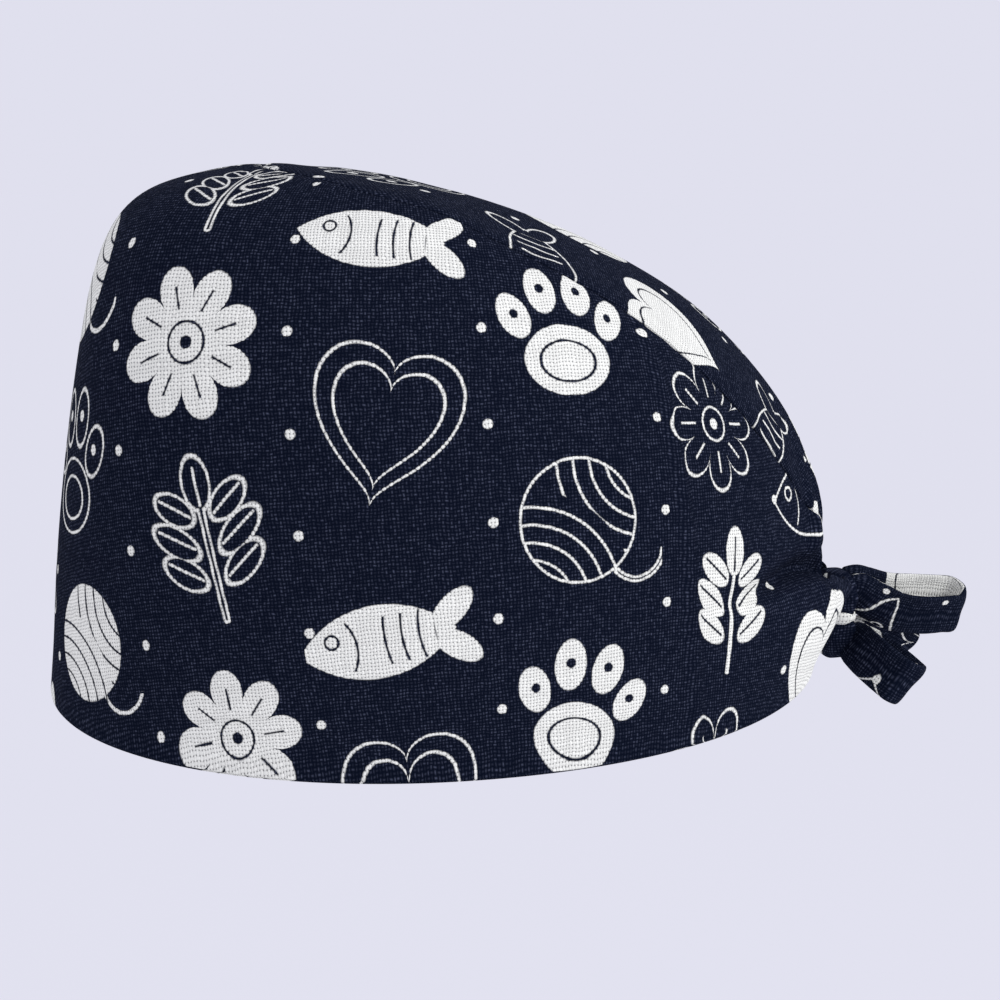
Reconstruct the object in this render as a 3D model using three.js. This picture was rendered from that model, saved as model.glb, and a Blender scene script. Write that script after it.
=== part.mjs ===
// A tie-back scrub cap in its worn shape: a side band, a domed crown panel gathered at the back,
// and the band's two strap ends tied in a bow behind the head.
import * as THREE from 'three'

// Driving sizes in millimetres. The wearer faces -Y, their left is +X and +Z is up.
// The head opening lies in the plane Z = 0 with its middle at the origin.
const HEAD_LENGTH = 200     // the opening, forehead to nape
const HEAD_WIDTH = 162      // the opening, ear to ear
const CAP_HEIGHT = 130      // hem to the front end of the crown seam
const CLOTH = 1.4           // wall of the band and of the crown panel
const SEAM_GAP = 0.3        // between two pieces that are sewn or knotted together
const TIE_WIDTH = 13        // width of the sewn strap that the bow is tied in
const TIE_THICK = 2.4       // its folded thickness
const LOOP_LENGTH = 34      // knot to the fold of the upper loop
const KNOT = { wide: 15, deep: 11, tall: 25, behind: 12, up: 4.8 }   // behind: past the opening's back
const KNOT_POWER = 0.5      // 1 makes the knot an egg, less makes it boxier
const GATHER_DEPTH = 1.1    // height of the small pleats at the crown's back hem
const GATHERS = 9           // number of those pleats
const GATHER_TURN = 137     // turn of the seam where they begin
const OPENING_POWER = 2.05  // 2 makes the opening an ellipse, more makes it squarer

// The crown seam, followed from the forehead end (along 0) to the back hem (along 1).
// back: place as a share of half the head length. up: share of the cap height.
// wide: reach to the side as a share of half the head width. dome: how far the panel
// stands out from the seam's line, as a share of the cap height.
const CROWN_SEAM = [
  { along: 0.00, back: -0.427, up: 0.995, wide: 0.897, dome: 0.016 },
  { along: 0.05, back: -0.326, up: 0.984, wide: 0.896, dome: 0.012 },
  { along: 0.11, back: -0.226, up: 0.962, wide: 0.819, dome: 0.048 },
  { along: 0.19, back: -0.072, up: 0.929, wide: 0.762, dome: 0.053 },
  { along: 0.26, back: 0.033, up: 0.889, wide: 0.708, dome: 0.068 },
  { along: 0.36, back: 0.221, up: 0.814, wide: 0.676, dome: 0.082 },
  { along: 0.45, back: 0.362, up: 0.749, wide: 0.643, dome: 0.092 },
  { along: 0.59, back: 0.580, up: 0.613, wide: 0.612, dome: 0.125 },
  { along: 0.75, back: 0.831, up: 0.398, wide: 0.548, dome: 0.150 },
  { along: 0.84, back: 0.910, up: 0.288, wide: 0.550, dome: 0.155 },
  { along: 0.88, back: 0.909, up: 0.210, wide: 0.625, dome: 0.190 },
  { along: 0.92, back: 0.906, up: 0.140, wide: 0.710, dome: 0.220 },
  { along: 0.96, back: 0.934, up: 0.100, wide: 0.730, dome: 0.180 },
  { along: 1.00, back: 0.965, up: 0.070, wide: 0.720, dome: 0.120 },
]

// Where the cloth rising from each turn of the opening meets the seam's own turn, in degrees.
const SEAM_TURN = [
  { turn: 0, seam: 0 }, { turn: 30, seam: 16 }, { turn: 60, seam: 34 }, { turn: 90, seam: 56 },
  { turn: 120, seam: 88 }, { turn: 150, seam: 128 }, { turn: 165, seam: 152 }, { turn: 180, seam: 180 },
]

// The band's rise from hem to seam, as the handles of a curve. lean and shoulder are shares of
// its run in plan, lift and drop are shares of its height.
const BAND_RISE = [
  { turn: 0, lean: 0.26, lift: 0.997, shoulder: 0.707, drop: 0.046 },
  { turn: 30, lean: 0.20, lift: 0.923, shoulder: 0.657, drop: 0.054 },
  { turn: 60, lean: 0.11, lift: 0.675, shoulder: 0.600, drop: 0.090 },
  { turn: 90, lean: 0.05, lift: 0.500, shoulder: 0.620, drop: 0.120 },
  { turn: 120, lean: 0.00, lift: 0.450, shoulder: 0.600, drop: 0.200 },
  { turn: 150, lean: 0.00, lift: 0.400, shoulder: 0.400, drop: 0.300 },
  { turn: 180, lean: 0.00, lift: 0.350, shoulder: 0.300, drop: 0.350 },
]

// The strap that the band narrows to, as shares of the cap height. low and top are its edges,
// out is how far it leaves the opening's line, puff its fullness and tuck the fold above it.
const STRAP = [
  { turn: 0, low: 0, top: 0.238, out: 0, puff: 0, tuck: 0 },
  { turn: 118, low: 0, top: 0.238, out: 0, puff: 0, tuck: 0 },
  { turn: 130, low: 0, top: 0.238, out: 0, puff: 0.010, tuck: 0.012 },
  { turn: 143, low: 0, top: 0.234, out: 0, puff: 0.026, tuck: 0.024 },
  { turn: 150, low: 0, top: 0.226, out: 0.002, puff: 0.032, tuck: 0.018 },
  { turn: 155, low: 0, top: 0.216, out: 0.008, puff: 0.034, tuck: 0.006 },
  { turn: 160, low: 0, top: 0.200, out: 0.017, puff: 0.034, tuck: 0 },
  { turn: 166, low: -0.003, top: 0.165, out: 0.032, puff: 0.026, tuck: 0 },
  { turn: 171, low: -0.008, top: 0.130, out: 0.058, puff: 0.014, tuck: 0 },
  { turn: 176, low: -0.012, top: 0.102, out: 0.085, puff: 0.004, tuck: 0 },
  { turn: 180, low: -0.012, top: 0.100, out: 0.090, puff: 0.004, tuck: 0 },
]
const SEAM_END = 148        // turn up to which the band is sewn edge to edge with the crown panel
const SEAM_LAP = 2.4        // from there its edge lies this far outside the crown panel's edge
const STRAP_START = 155     // turn where the band's top edge starts to leave the seam's line
const STRAP_LEAVE = 6       // turn that it takes to leave it

// Rows of the band, hem to top: height of the strap's part (strap, share of the strap) and of
// the part above it (above, share of what is left), and the even spacing of the free strap.
const BAND_ROWS = [
  { strap: 0, above: 0, even: 0 }, { strap: 0.14, above: 0, even: 0.09 },
  { strap: 0.36, above: 0, even: 0.21 }, { strap: 0.60, above: 0, even: 0.34 },
  { strap: 0.80, above: 0, even: 0.46 }, { strap: 0.93, above: 0, even: 0.57 },
  { strap: 1, above: 0.03, even: 0.66 }, { strap: 1, above: 0.11, even: 0.74 },
  { strap: 1, above: 0.27, even: 0.81 }, { strap: 1, above: 0.45, even: 0.87 },
  { strap: 1, above: 0.62, even: 0.915 }, { strap: 1, above: 0.77, even: 0.95 },
  { strap: 1, above: 0.89, even: 0.978 }, { strap: 1, above: 1, even: 1 },
]
const NORMAL_PASSES = 3     // rounds of smoothing of the directions in which the band's wall lies
const CROWN_RINGS = [1, 0.955, 0.89, 0.80, 0.68, 0.53, 0.36, 0.18]

// Half of a bow loop, from the knot to its fold. out and drop are shares of the loop's own
// length and side is a share of the longer loop's, so both open as wide. wide is a share of
// the tie's width and lean turns the strap about its own length.
const LOOP_HALF = [
  { out: 0.00, side: 0.070, drop: 0.000, wide: 0.88, lean: 2 },
  { out: 0.14, side: 0.100, drop: 0.080, wide: 0.96, lean: 6 },
  { out: 0.36, side: 0.135, drop: 0.190, wide: 1.00, lean: 10 },
  { out: 0.62, side: 0.140, drop: 0.240, wide: 1.00, lean: 10 },
  { out: 0.85, side: 0.110, drop: 0.262, wide: 1.00, lean: 7 },
  { out: 0.95, side: 0.088, drop: 0.270, wide: 1.00, lean: 3 },
]
// from is where a loop leaves the knot's back face, as shares of the knot's width and height.
// sag is how much of the table's drop it takes, and rise lifts its far side over its near side.
const BOW_LOOPS = [
  {
    name: 'bow_loop_upper', length: 1, from: [-0.033, 0.28], sag: 1, rise: 0.02,
    towards: [-0.02, 1, 0.02], up: [0.25, 0, 0.97],
  },
  {
    name: 'bow_loop_lower', length: 0.6, from: [0.27, -0.304], sag: 0, rise: 0.01,
    towards: [0.90, 0.31, -0.31], up: [0.1, 0.54, 0.84],
  },
]
// The short free ends of the two ties, as points from the knot's middle in shares of the longer
// loop's length. away is the way each one leaves the knot.
const TIE_ENDS = [
  {
    name: 'tie_end_left', away: [0, 1, 0], up: [0.35, 0.35, 0.87],
    path: [[-0.13, 0.18, -0.18], [-0.16, 0.35, -0.25], [-0.235, 0.59, -0.35], [-0.35, 0.85, -0.5]],
  },
  {
    name: 'tie_end_right', away: [-1, 0, 0], up: [0.25, 0.45, 0.86],
    path: [[-0.235, 0.065, -0.045], [-0.41, 0.16, -0.13], [-0.62, 0.29, -0.265], [-0.82, 0.43, -0.44]],
  },
]

const KNOT_MIDDLE = [0, HEAD_LENGTH / 2 + KNOT.behind, KNOT.up]
const NAVY = 0x1f2433
const cloth = name => new THREE.MeshStandardMaterial({ name, color: NAVY, roughness: 0.92, metalness: 0 })

const clamp = (value, low, high) => Math.min(high, Math.max(low, value))
const mix = (a, b, share) => a + (b - a) * share
const ease = (low, high, value) => {
  const share = clamp((value - low) / (high - low), 0, 1)
  return share * share * (3 - 2 * share)
}
const vec = (x, y, z) => new THREE.Vector3(x, y, z)
const signedPower = (value, power) => Math.sign(value) * Math.abs(value) ** power

// A smooth curve through one column of a table, which never swings past its rows.
function column(rows, key, name) {
  const xs = rows.map(row => row[key])
  const ys = rows.map(row => row[name])
  const last = xs.length - 1
  const gap = xs.slice(1).map((x, i) => x - xs[i])
  const rise = gap.map((g, i) => (ys[i + 1] - ys[i]) / g)
  const slope = xs.map((x, i) => {
    if (i === 0 || i === last) return 0
    if (rise[i - 1] * rise[i] <= 0) return 0
    const before = 2 * gap[i] + gap[i - 1]
    const after = gap[i] + 2 * gap[i - 1]
    return (before + after) / (before / rise[i - 1] + after / rise[i])
  })
  const endSlope = (near, far, nearRise, farRise) => {
    const value = ((2 * near + far) * nearRise - near * farRise) / (near + far)
    if (value * nearRise <= 0) return 0
    if (nearRise * farRise < 0 && Math.abs(value) > 3 * Math.abs(nearRise)) return 3 * nearRise
    return value
  }
  slope[0] = endSlope(gap[0], gap[1], rise[0], rise[1])
  slope[last] = endSlope(gap[last - 1], gap[last - 2], rise[last - 1], rise[last - 2])
  return x => {
    let i = 0
    while (i < last - 1 && x > xs[i + 1]) i++
    const h = gap[i]
    const s = (clamp(x, xs[0], xs[last]) - xs[i]) / h
    const a = ys[i] * (1 + 2 * s) * (1 - s) ** 2 + h * slope[i] * s * (1 - s) ** 2
    const b = ys[i + 1] * s * s * (3 - 2 * s) + h * slope[i + 1] * s * s * (s - 1)
    return a + b
  }
}
const table = (rows, key) => {
  const curves = {}
  for (const name of Object.keys(rows[0])) if (name !== key) curves[name] = column(rows, key, name)
  return curves
}
const seamCurve = table(CROWN_SEAM, 'along')
const seamTurnCurve = table(SEAM_TURN, 'turn')
const riseCurve = table(BAND_RISE, 'turn')
const strapCurve = table(STRAP, 'turn')

const radians = degrees => degrees * Math.PI / 180
const seamTurn = turn => Math.sign(turn) * seamTurnCurve.seam(Math.abs(turn))

function openingPoint(turn) {
  const c = Math.cos(radians(turn))
  const s = Math.sin(radians(turn))
  return vec(HEAD_WIDTH / 2 * signedPower(s, 2 / OPENING_POWER),
    -HEAD_LENGTH / 2 * signedPower(c, 2 / OPENING_POWER), 0)
}

function openingNormal(turn) {
  const p = openingPoint(turn)
  return vec(p.x / HEAD_WIDTH ** 2, p.y / HEAD_LENGTH ** 2, 0).normalize()
}

// A point of the crown panel: turn goes round the seam, ring is 1 at the seam and 0 in the middle.
function crownPoint(turn, ring) {
  const front = ring * Math.cos(radians(turn))
  const side = ring * Math.sin(radians(turn))
  const along = (1 - front) / 2
  const at = share => [seamCurve.back(share) * HEAD_LENGTH / 2, seamCurve.up(share) * CAP_HEIGHT]
  const [y, z] = at(along)
  const before = at(clamp(along - 0.001, 0, 1))
  const after = at(clamp(along + 0.001, 0, 1))
  const normal = vec(0, before[1] - after[1], after[0] - before[0]).normalize()
  const pleat = GATHER_DEPTH * ease(GATHER_TURN, GATHER_TURN + 15, Math.abs(turn)) * ring ** 9
    * Math.cos(radians(turn - 180) * GATHERS * 360 / 80)
  const height = seamCurve.dome(along) * CAP_HEIGHT * (1 - ring * ring) - Math.abs(pleat) + pleat / 2
  return vec(seamCurve.wide(along) * HEAD_WIDTH / 2 * side, y, z).addScaledVector(normal, height)
}

// The band's column at one turn: the curve from hem to seam, or to the free strap's top edge.
function bandCurve(turn) {
  const size = Math.abs(turn)
  const normal = openingNormal(turn)
  const low = strapCurve.low(size) * CAP_HEIGHT
  const top = strapCurve.top(size) * CAP_HEIGHT
  const out = strapCurve.out(size) * CAP_HEIGHT
  const hem = openingPoint(turn).addScaledVector(normal, out).setZ(low)
  const strapTop = openingPoint(turn).addScaledVector(normal, out + 1.2).setZ(top)
  const free = ease(STRAP_START, STRAP_START + STRAP_LEAVE, size)
  const lap = SEAM_LAP * ease(SEAM_END, SEAM_END + 2, size)
  const end = crownPoint(seamTurn(turn), 1).addScaledVector(normal, lap).lerp(strapTop, free)
  const height = end.z - low
  const run = end.clone().sub(hem).setZ(0)
  const lowHandle = hem.clone().addScaledVector(run, riseCurve.lean(size))
  lowHandle.z += height * riseCurve.lift(size)
  const highHandle = end.clone().addScaledVector(run, -riseCurve.shoulder(size))
  highHandle.z -= height * riseCurve.drop(size)
  const path = new THREE.CubicBezierCurve3(hem, lowHandle, highHandle, end)
  const share = z => {
    let [a, b] = [0, 1]
    for (let i = 0; i < 30; i++) {
      const middle = (a + b) / 2
      if (path.getPoint(middle).z < z) a = middle
      else b = middle
    }
    return (a + b) / 2
  }
  const puff = strapCurve.puff(size) * CAP_HEIGHT
  const tuck = strapCurve.tuck(size) * CAP_HEIGHT
  const place = z => {
    const point = path.getPoint(z <= low ? 0 : z >= end.z ? 1 : share(z))
    const part = clamp((z - low) / (top - low), 0, 1)
    const full = puff * Math.sin(Math.PI * part ** 0.9)
    const fold = tuck * Math.exp(-(((z - top) / 3.2) ** 2)) * (1 - ease(end.z - 4, end.z, z) * (1 - free))
    return point.addScaledVector(normal, full - fold)
  }
  const topShare = share(Math.min(top, end.z))
  return BAND_ROWS.map(row => {
    const tall = row.above ? path.getPoint(mix(topShare, 1, row.above)).z : mix(low, top, row.strap)
    return place(mix(tall, mix(low, end.z, row.even), ease(SEAM_END - 4, STRAP_START + STRAP_LEAVE, size)))
  })
}

// The turn at which the strap's hem reaches the knot's side.
function strapEnd() {
  let [near, far] = [STRAP_START, 180]
  for (let i = 0; i < 30; i++) {
    const turn = (near + far) / 2
    const hem = openingPoint(turn).addScaledVector(openingNormal(turn), strapCurve.out(turn) * CAP_HEIGHT)
    if (hem.x > KNOT.wide / 2 + 2 * SEAM_GAP) near = turn
    else far = turn
  }
  return near
}

// Turns of the columns: wide steps round the front, narrow ones where the cloth tucks and gathers.
function turnsOfBand() {
  const half = []
  for (let turn = 0; turn < 120; turn += 6) half.push(turn)
  for (let turn = 120; turn <= STRAP_START; turn += 3) half.push(turn)
  const end = strapEnd()
  for (let step = 0; step <= 8; step++) half.push(mix(STRAP_START + 1, end, step / 8))
  return [...half.slice(1).reverse().map(turn => -turn), ...half]
}
const SEWN_TURNS = turnsOfBand().filter(turn => Math.abs(turn) < SEAM_END)

function turnsOfCrown() {
  const sewn = SEWN_TURNS.map(seamTurn)
  const first = sewn[sewn.length - 1]
  const steps = 40
  const rest = []
  for (let i = 1; i < steps; i++) rest.push(first + (360 - 2 * first) * i / steps)
  return [...sewn, ...rest]
}

// The direction in which both pieces turn in at the seam, halfway between their own surfaces.
function seamNormal(turn) {
  const t = seamTurn(turn)
  const at = crownPoint(t, 1)
  const along = crownPoint(t + 0.5, 1).sub(crownPoint(t - 0.5, 1))
  const crownIn = crownPoint(t, 0.98).sub(at)
  const rows = bandCurve(turn)
  const bandIn = rows[rows.length - 2].clone().sub(rows[rows.length - 1])
  const crownNormal = along.clone().cross(crownIn).normalize()
  const bandNormal = bandIn.clone().cross(along).normalize()
  return crownNormal.add(bandNormal).normalize()
}

// Surface directions of a grid of points, columns by rows, from the neighbours of each point.
function gridNormals(columns, closed) {
  const count = columns.length
  return columns.map((points, c) => points.map((point, r) => {
    const next = closed ? columns[(c + 1) % count] : columns[Math.min(c + 1, count - 1)]
    const previous = closed ? columns[(c + count - 1) % count] : columns[Math.max(c - 1, 0)]
    const across = next[r].clone().sub(previous[r])
    const up = points[Math.min(r + 1, points.length - 1)].clone().sub(points[Math.max(r - 1, 0)])
    return across.cross(up).normalize()
  }))
}

// The same directions with each one turned towards its neighbours, so that the inner wall runs
// smoothly behind a tight fold.
function softened(normals, passes) {
  if (passes === 0) return normals
  const near = (list, i) => list[clamp(i, 0, list.length - 1)]
  const next = normals.map((column, c) => column.map((_, r) => {
    const sum = vec(0, 0, 0)
    for (let i = -1; i <= 1; i++) {
      for (let j = -1; j <= 1; j++) sum.add(near(near(normals, c + i), r + j))
    }
    return sum.normalize()
  }))
  return softened(next, passes - 1)
}

function solid(points, faces) {
  const geometry = new THREE.BufferGeometry()
  geometry.setAttribute('position', new THREE.Float32BufferAttribute(points.flatMap(p => [p.x, p.y, p.z]), 3))
  geometry.setIndex(faces.flat())
  geometry.computeVertexNormals()
  return geometry
}
const addQuad = (faces, a, b, c, d) => faces.push([a, b, c], [a, c, d])

// A wall of cloth between an outer and an inner grid, closed along all of its edges.
function openSheet(outer, inner) {
  const columns = outer.length
  const rows = outer[0].length
  const points = [...outer.flat(), ...inner.flat()]
  const at = (side, c, r) => (side * columns + c) * rows + r
  const faces = []
  for (let c = 0; c < columns - 1; c++) {
    for (let r = 0; r < rows - 1; r++) {
      addQuad(faces, at(0, c, r), at(0, c + 1, r), at(0, c + 1, r + 1), at(0, c, r + 1))
      addQuad(faces, at(1, c, r), at(1, c, r + 1), at(1, c + 1, r + 1), at(1, c + 1, r))
    }
    addQuad(faces, at(1, c, 0), at(1, c + 1, 0), at(0, c + 1, 0), at(0, c, 0))
    addQuad(faces, at(0, c, rows - 1), at(0, c + 1, rows - 1), at(1, c + 1, rows - 1), at(1, c, rows - 1))
  }
  for (let r = 0; r < rows - 1; r++) {
    addQuad(faces, at(0, 0, r), at(0, 0, r + 1), at(1, 0, r + 1), at(1, 0, r))
    const end = columns - 1
    addQuad(faces, at(0, end, r), at(1, end, r), at(1, end, r + 1), at(0, end, r + 1))
  }
  return solid(points, faces)
}

// A domed wall of cloth: rings of points that close round a middle point, outer and inner.
function domeSheet(outer, inner, outerMiddle, innerMiddle) {
  const columns = outer.length
  const rows = outer[0].length
  const points = [...outer.flat(), ...inner.flat(), outerMiddle, innerMiddle]
  const at = (side, c, r) => (side * columns + c % columns) * rows + r
  const middle = side => 2 * columns * rows + side
  const faces = []
  for (let c = 0; c < columns; c++) {
    for (let r = 0; r < rows - 1; r++) {
      addQuad(faces, at(0, c, r), at(0, c + 1, r), at(0, c + 1, r + 1), at(0, c, r + 1))
      addQuad(faces, at(1, c, r), at(1, c, r + 1), at(1, c + 1, r + 1), at(1, c + 1, r))
    }
    faces.push([at(0, c, rows - 1), at(0, c + 1, rows - 1), middle(0)])
    faces.push([at(1, c, rows - 1), middle(1), at(1, c + 1, rows - 1)])
    addQuad(faces, at(1, c, 0), at(1, c + 1, 0), at(0, c + 1, 0), at(0, c, 0))
  }
  return solid(points, faces)
}

function sideBand() {
  const turns = turnsOfBand()
  const outer = turns.map(bandCurve)
  const normals = softened(gridNormals(outer, false), NORMAL_PASSES)
  const last = BAND_ROWS.length - 1
  const inner = outer.map((points, c) => points.map((point, r) => {
    const sewn = r === last && Math.abs(turns[c]) < SEAM_END
    const normal = sewn ? seamNormal(turns[c]) : normals[c][r]
    if (r === 0) normal.setZ(0).normalize()
    return point.clone().addScaledVector(normal, -CLOTH)
  }))
  for (let c = 0; c < turns.length; c++) {
    const down = outer[c][last - 1].clone().sub(outer[c][last]).setLength(SEAM_GAP / 2)
    outer[c][last].add(down)
    inner[c][last].add(down)
  }
  return openSheet(outer, inner)
}

function crownPanel() {
  const turns = turnsOfCrown()
  const outer = turns.map(turn => CROWN_RINGS.map(ring => crownPoint(turn, ring)))
  const normals = gridNormals(outer, true)
  const inner = outer.map((points, c) => points.map((point, r) => {
    const sewn = r === 0 && c < SEWN_TURNS.length
    const normal = sewn ? seamNormal(SEWN_TURNS[c]) : normals[c][r]
    return point.clone().addScaledVector(normal, -CLOTH)
  }))
  for (let c = 0; c < turns.length; c++) {
    const sewn = c < SEWN_TURNS.length && Math.abs(SEWN_TURNS[c]) < SEAM_END - 3
    const inwards = outer[c][1].clone().sub(outer[c][0]).setLength(SEAM_GAP * (sewn ? 0.5 : 2))
    outer[c][0].add(inwards)
    inner[c][0].add(inwards)
  }
  const middle = crownPoint(0, 0)
  const ahead = crownPoint(0, 0.05).sub(crownPoint(180, 0.05))
  const normal = ahead.cross(vec(1, 0, 0)).normalize()
  return domeSheet(outer, inner, middle, middle.clone().addScaledVector(normal, -CLOTH))
}

// A sewn strap swept along stations, each with a place, a direction across and a width.
function strapSolid(stations, steps) {
  const line = new THREE.CatmullRomCurve3(stations.map(station => station.place))
  const across = new THREE.CatmullRomCurve3(stations.map(station => station.across))
  const widths = new THREE.CatmullRomCurve3(stations.map(station => vec(station.wide, 0, 0)))
  const corners = 12
  const points = []
  const faces = []
  for (let i = 0; i <= steps; i++) {
    const share = i / steps
    const tangent = line.getTangent(share)
    const wide = across.getPoint(share)
    wide.addScaledVector(tangent, -wide.dot(tangent)).normalize()
    const thick = tangent.clone().cross(wide)
    for (let k = 0; k < corners; k++) {
      const angle = 2 * Math.PI * k / corners
      points.push(line.getPoint(share)
        .addScaledVector(wide, widths.getPoint(share).x / 2 * signedPower(Math.cos(angle), 0.75))
        .addScaledVector(thick, TIE_THICK / 2 * signedPower(Math.sin(angle), 0.75)))
    }
  }
  for (let i = 0; i < steps; i++) {
    for (let k = 0; k < corners; k++) {
      const a = i * corners + k
      const b = i * corners + (k + 1) % corners
      addQuad(faces, a, b, b + corners, a + corners)
    }
  }
  for (let k = 1; k < corners - 1; k++) {
    faces.push([0, k + 1, k])
    const first = steps * corners
    faces.push([first, first + k, first + k + 1])
  }
  return solid(points, faces)
}

// Slides a strap towards the knot until its nearest point stands a seam's gap from it.
function seatOnKnot(geometry, away) {
  const at = geometry.attributes.position
  const power = 2 / KNOT_POWER
  const half = [KNOT.wide, KNOT.deep, KNOT.tall].map(size => size / 2 + SEAM_GAP)
  const clear = slide => {
    for (let i = 0; i < at.count; i++) {
      const p = vec(at.getX(i), at.getY(i), at.getZ(i)).sub(vec(...KNOT_MIDDLE)).addScaledVector(away, -slide)
      const reach = Math.abs(p.x / half[0]) ** power + Math.abs(p.y / half[1]) ** power
        + Math.abs(p.z / half[2]) ** power
      if (reach < 1) return false
    }
    return true
  }
  let [free, blocked] = [-KNOT.tall, KNOT.tall]
  for (let slide = free; slide < blocked && clear(slide); slide += 0.25) free = slide
  blocked = free + 0.25
  for (let i = 0; i < 12; i++) {
    const middle = (free + blocked) / 2
    if (clear(middle)) free = middle
    else blocked = middle
  }
  geometry.translate(-away.x * free, -away.y * free, -away.z * free)
  return geometry
}

function bowLoop(loop) {
  const length = LOOP_LENGTH * loop.length
  const [across, up] = loop.from
  const start = vec(across * KNOT.wide, KNOT.deep / 2, up * KNOT.tall).add(vec(...KNOT_MIDDLE))
  const out = vec(...loop.towards).normalize()
  const high = vec(...loop.up)
  high.addScaledVector(out, -high.dot(out)).normalize()
  const side = out.clone().cross(high)
  const station = (row, sign) => {
    const lean = radians(row.lean * sign)
    const place = start.clone().addScaledVector(out, row.out * length)
      .addScaledVector(side, sign * row.side * LOOP_LENGTH)
      .addScaledVector(high, -sign * loop.rise * length * row.out - loop.sag * row.drop * length)
    const strapSide = high.clone().multiplyScalar(Math.cos(lean)).addScaledVector(side, Math.sin(lean))
    return { place, across: strapSide, wide: row.wide * TIE_WIDTH }
  }
  const foldDrop = loop.sag * LOOP_HALF[LOOP_HALF.length - 1].drop * length
  const fold = {
    place: start.clone().addScaledVector(out, length).addScaledVector(high, -foldDrop),
    across: high,
    wide: TIE_WIDTH,
  }
  const near = LOOP_HALF.map(row => station(row, 1))
  const far = LOOP_HALF.map(row => station(row, -1)).reverse()
  return seatOnKnot(strapSolid([...near, fold, ...far], 30), vec(0, 1, 0))
}

function tieEnd(end) {
  const stations = end.path.map((point, i) => ({
    place: vec(...point).multiplyScalar(LOOP_LENGTH).add(vec(...KNOT_MIDDLE)),
    across: vec(...end.up),
    wide: TIE_WIDTH * (i ? 0.96 : 0.6),
  }))
  return seatOnKnot(strapSolid(stations, 10), vec(...end.away))
}

// The knot: a soft rounded block.
function knot() {
  const around = 20
  const levels = 10
  const points = []
  const faces = []
  for (let j = 1; j < levels; j++) {
    const tilt = Math.PI * j / levels
    for (let i = 0; i < around; i++) {
      const angle = 2 * Math.PI * i / around
      const level = signedPower(Math.sin(tilt), KNOT_POWER)
      points.push(vec(
        KNOT.wide / 2 * level * signedPower(Math.cos(angle), KNOT_POWER),
        KNOT.deep / 2 * level * signedPower(Math.sin(angle), KNOT_POWER),
        KNOT.tall / 2 * signedPower(Math.cos(tilt), KNOT_POWER)).add(vec(...KNOT_MIDDLE)))
    }
  }
  const top = points.push(vec(0, 0, KNOT.tall / 2).add(vec(...KNOT_MIDDLE))) - 1
  const bottom = points.push(vec(0, 0, -KNOT.tall / 2).add(vec(...KNOT_MIDDLE))) - 1
  const at = (j, i) => j * around + i % around
  for (let i = 0; i < around; i++) {
    faces.push([top, at(0, i), at(0, i + 1)])
    faces.push([bottom, at(levels - 2, i + 1), at(levels - 2, i)])
    for (let j = 0; j < levels - 2; j++) {
      addQuad(faces, at(j, i), at(j + 1, i), at(j + 1, i + 1), at(j, i + 1))
    }
  }
  return solid(points, faces)
}

const cap = new THREE.Group()
function add(name, geometry) {
  const mesh = new THREE.Mesh(geometry, cloth(name))
  mesh.name = name
  cap.add(mesh)
}
add('side_band', sideBand())
add('crown_panel', crownPanel())
add('bow_knot', knot())
for (const loop of BOW_LOOPS) add(loop.name, bowLoop(loop))
for (const end of TIE_ENDS) add(end.name, tieEnd(end))

export default cap
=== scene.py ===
# %% [markdown]
# This lesson dresses a tie-back scrub cap: a tall side band, a domed crown panel that is gathered
# at the back, and two strap ends tied in a bow behind the head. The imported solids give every
# piece its place and its size, in metres, with the wearer facing -Y and +Z up. They stay hidden
# under cloth that is modelled here as thin sheets, which is what a cap is made of.

# %% Load the frame
import math

import bmesh
import bpy
import numpy as np
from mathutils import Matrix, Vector


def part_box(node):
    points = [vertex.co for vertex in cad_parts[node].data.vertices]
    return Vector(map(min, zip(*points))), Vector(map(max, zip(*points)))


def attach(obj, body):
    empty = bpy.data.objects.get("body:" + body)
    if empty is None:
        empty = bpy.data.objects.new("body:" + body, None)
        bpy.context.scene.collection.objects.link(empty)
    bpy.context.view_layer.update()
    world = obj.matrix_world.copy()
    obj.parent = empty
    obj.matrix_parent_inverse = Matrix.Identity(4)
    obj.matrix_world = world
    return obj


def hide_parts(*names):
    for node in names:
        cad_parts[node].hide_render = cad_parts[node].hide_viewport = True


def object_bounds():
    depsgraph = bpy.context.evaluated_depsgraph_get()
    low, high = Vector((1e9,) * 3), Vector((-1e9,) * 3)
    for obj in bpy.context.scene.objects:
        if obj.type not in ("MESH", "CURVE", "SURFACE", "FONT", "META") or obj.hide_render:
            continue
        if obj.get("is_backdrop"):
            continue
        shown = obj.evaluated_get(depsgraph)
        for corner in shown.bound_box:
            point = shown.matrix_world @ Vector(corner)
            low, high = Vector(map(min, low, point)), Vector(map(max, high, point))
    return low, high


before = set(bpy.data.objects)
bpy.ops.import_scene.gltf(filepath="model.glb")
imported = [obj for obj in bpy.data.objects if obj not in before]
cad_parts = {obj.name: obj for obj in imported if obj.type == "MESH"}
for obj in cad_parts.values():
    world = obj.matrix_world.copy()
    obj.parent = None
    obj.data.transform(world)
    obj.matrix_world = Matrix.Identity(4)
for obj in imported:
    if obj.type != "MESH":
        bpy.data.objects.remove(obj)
cad_low, cad_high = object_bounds()
print("the cap is", [round(side * 1000, 1) for side in cad_high - cad_low], "mm")

# %% [markdown]
# The camera stands close to the cap, so the far side looks much smaller than the near one. Its
# place was worked out from the oval of the hem, whose two widths are those of an adult head.

# %% Camera
MM = 0.001
CAMERA_AT = Vector((398.85, -70.33, 143.84)) * MM
CAMERA_PITCH = 76.031   # degrees from looking straight down
CAMERA_TURN = 77.7253   # degrees round from looking along +Y
LENS = 57.77            # millimetres, on a sensor 36 mm wide

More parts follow.
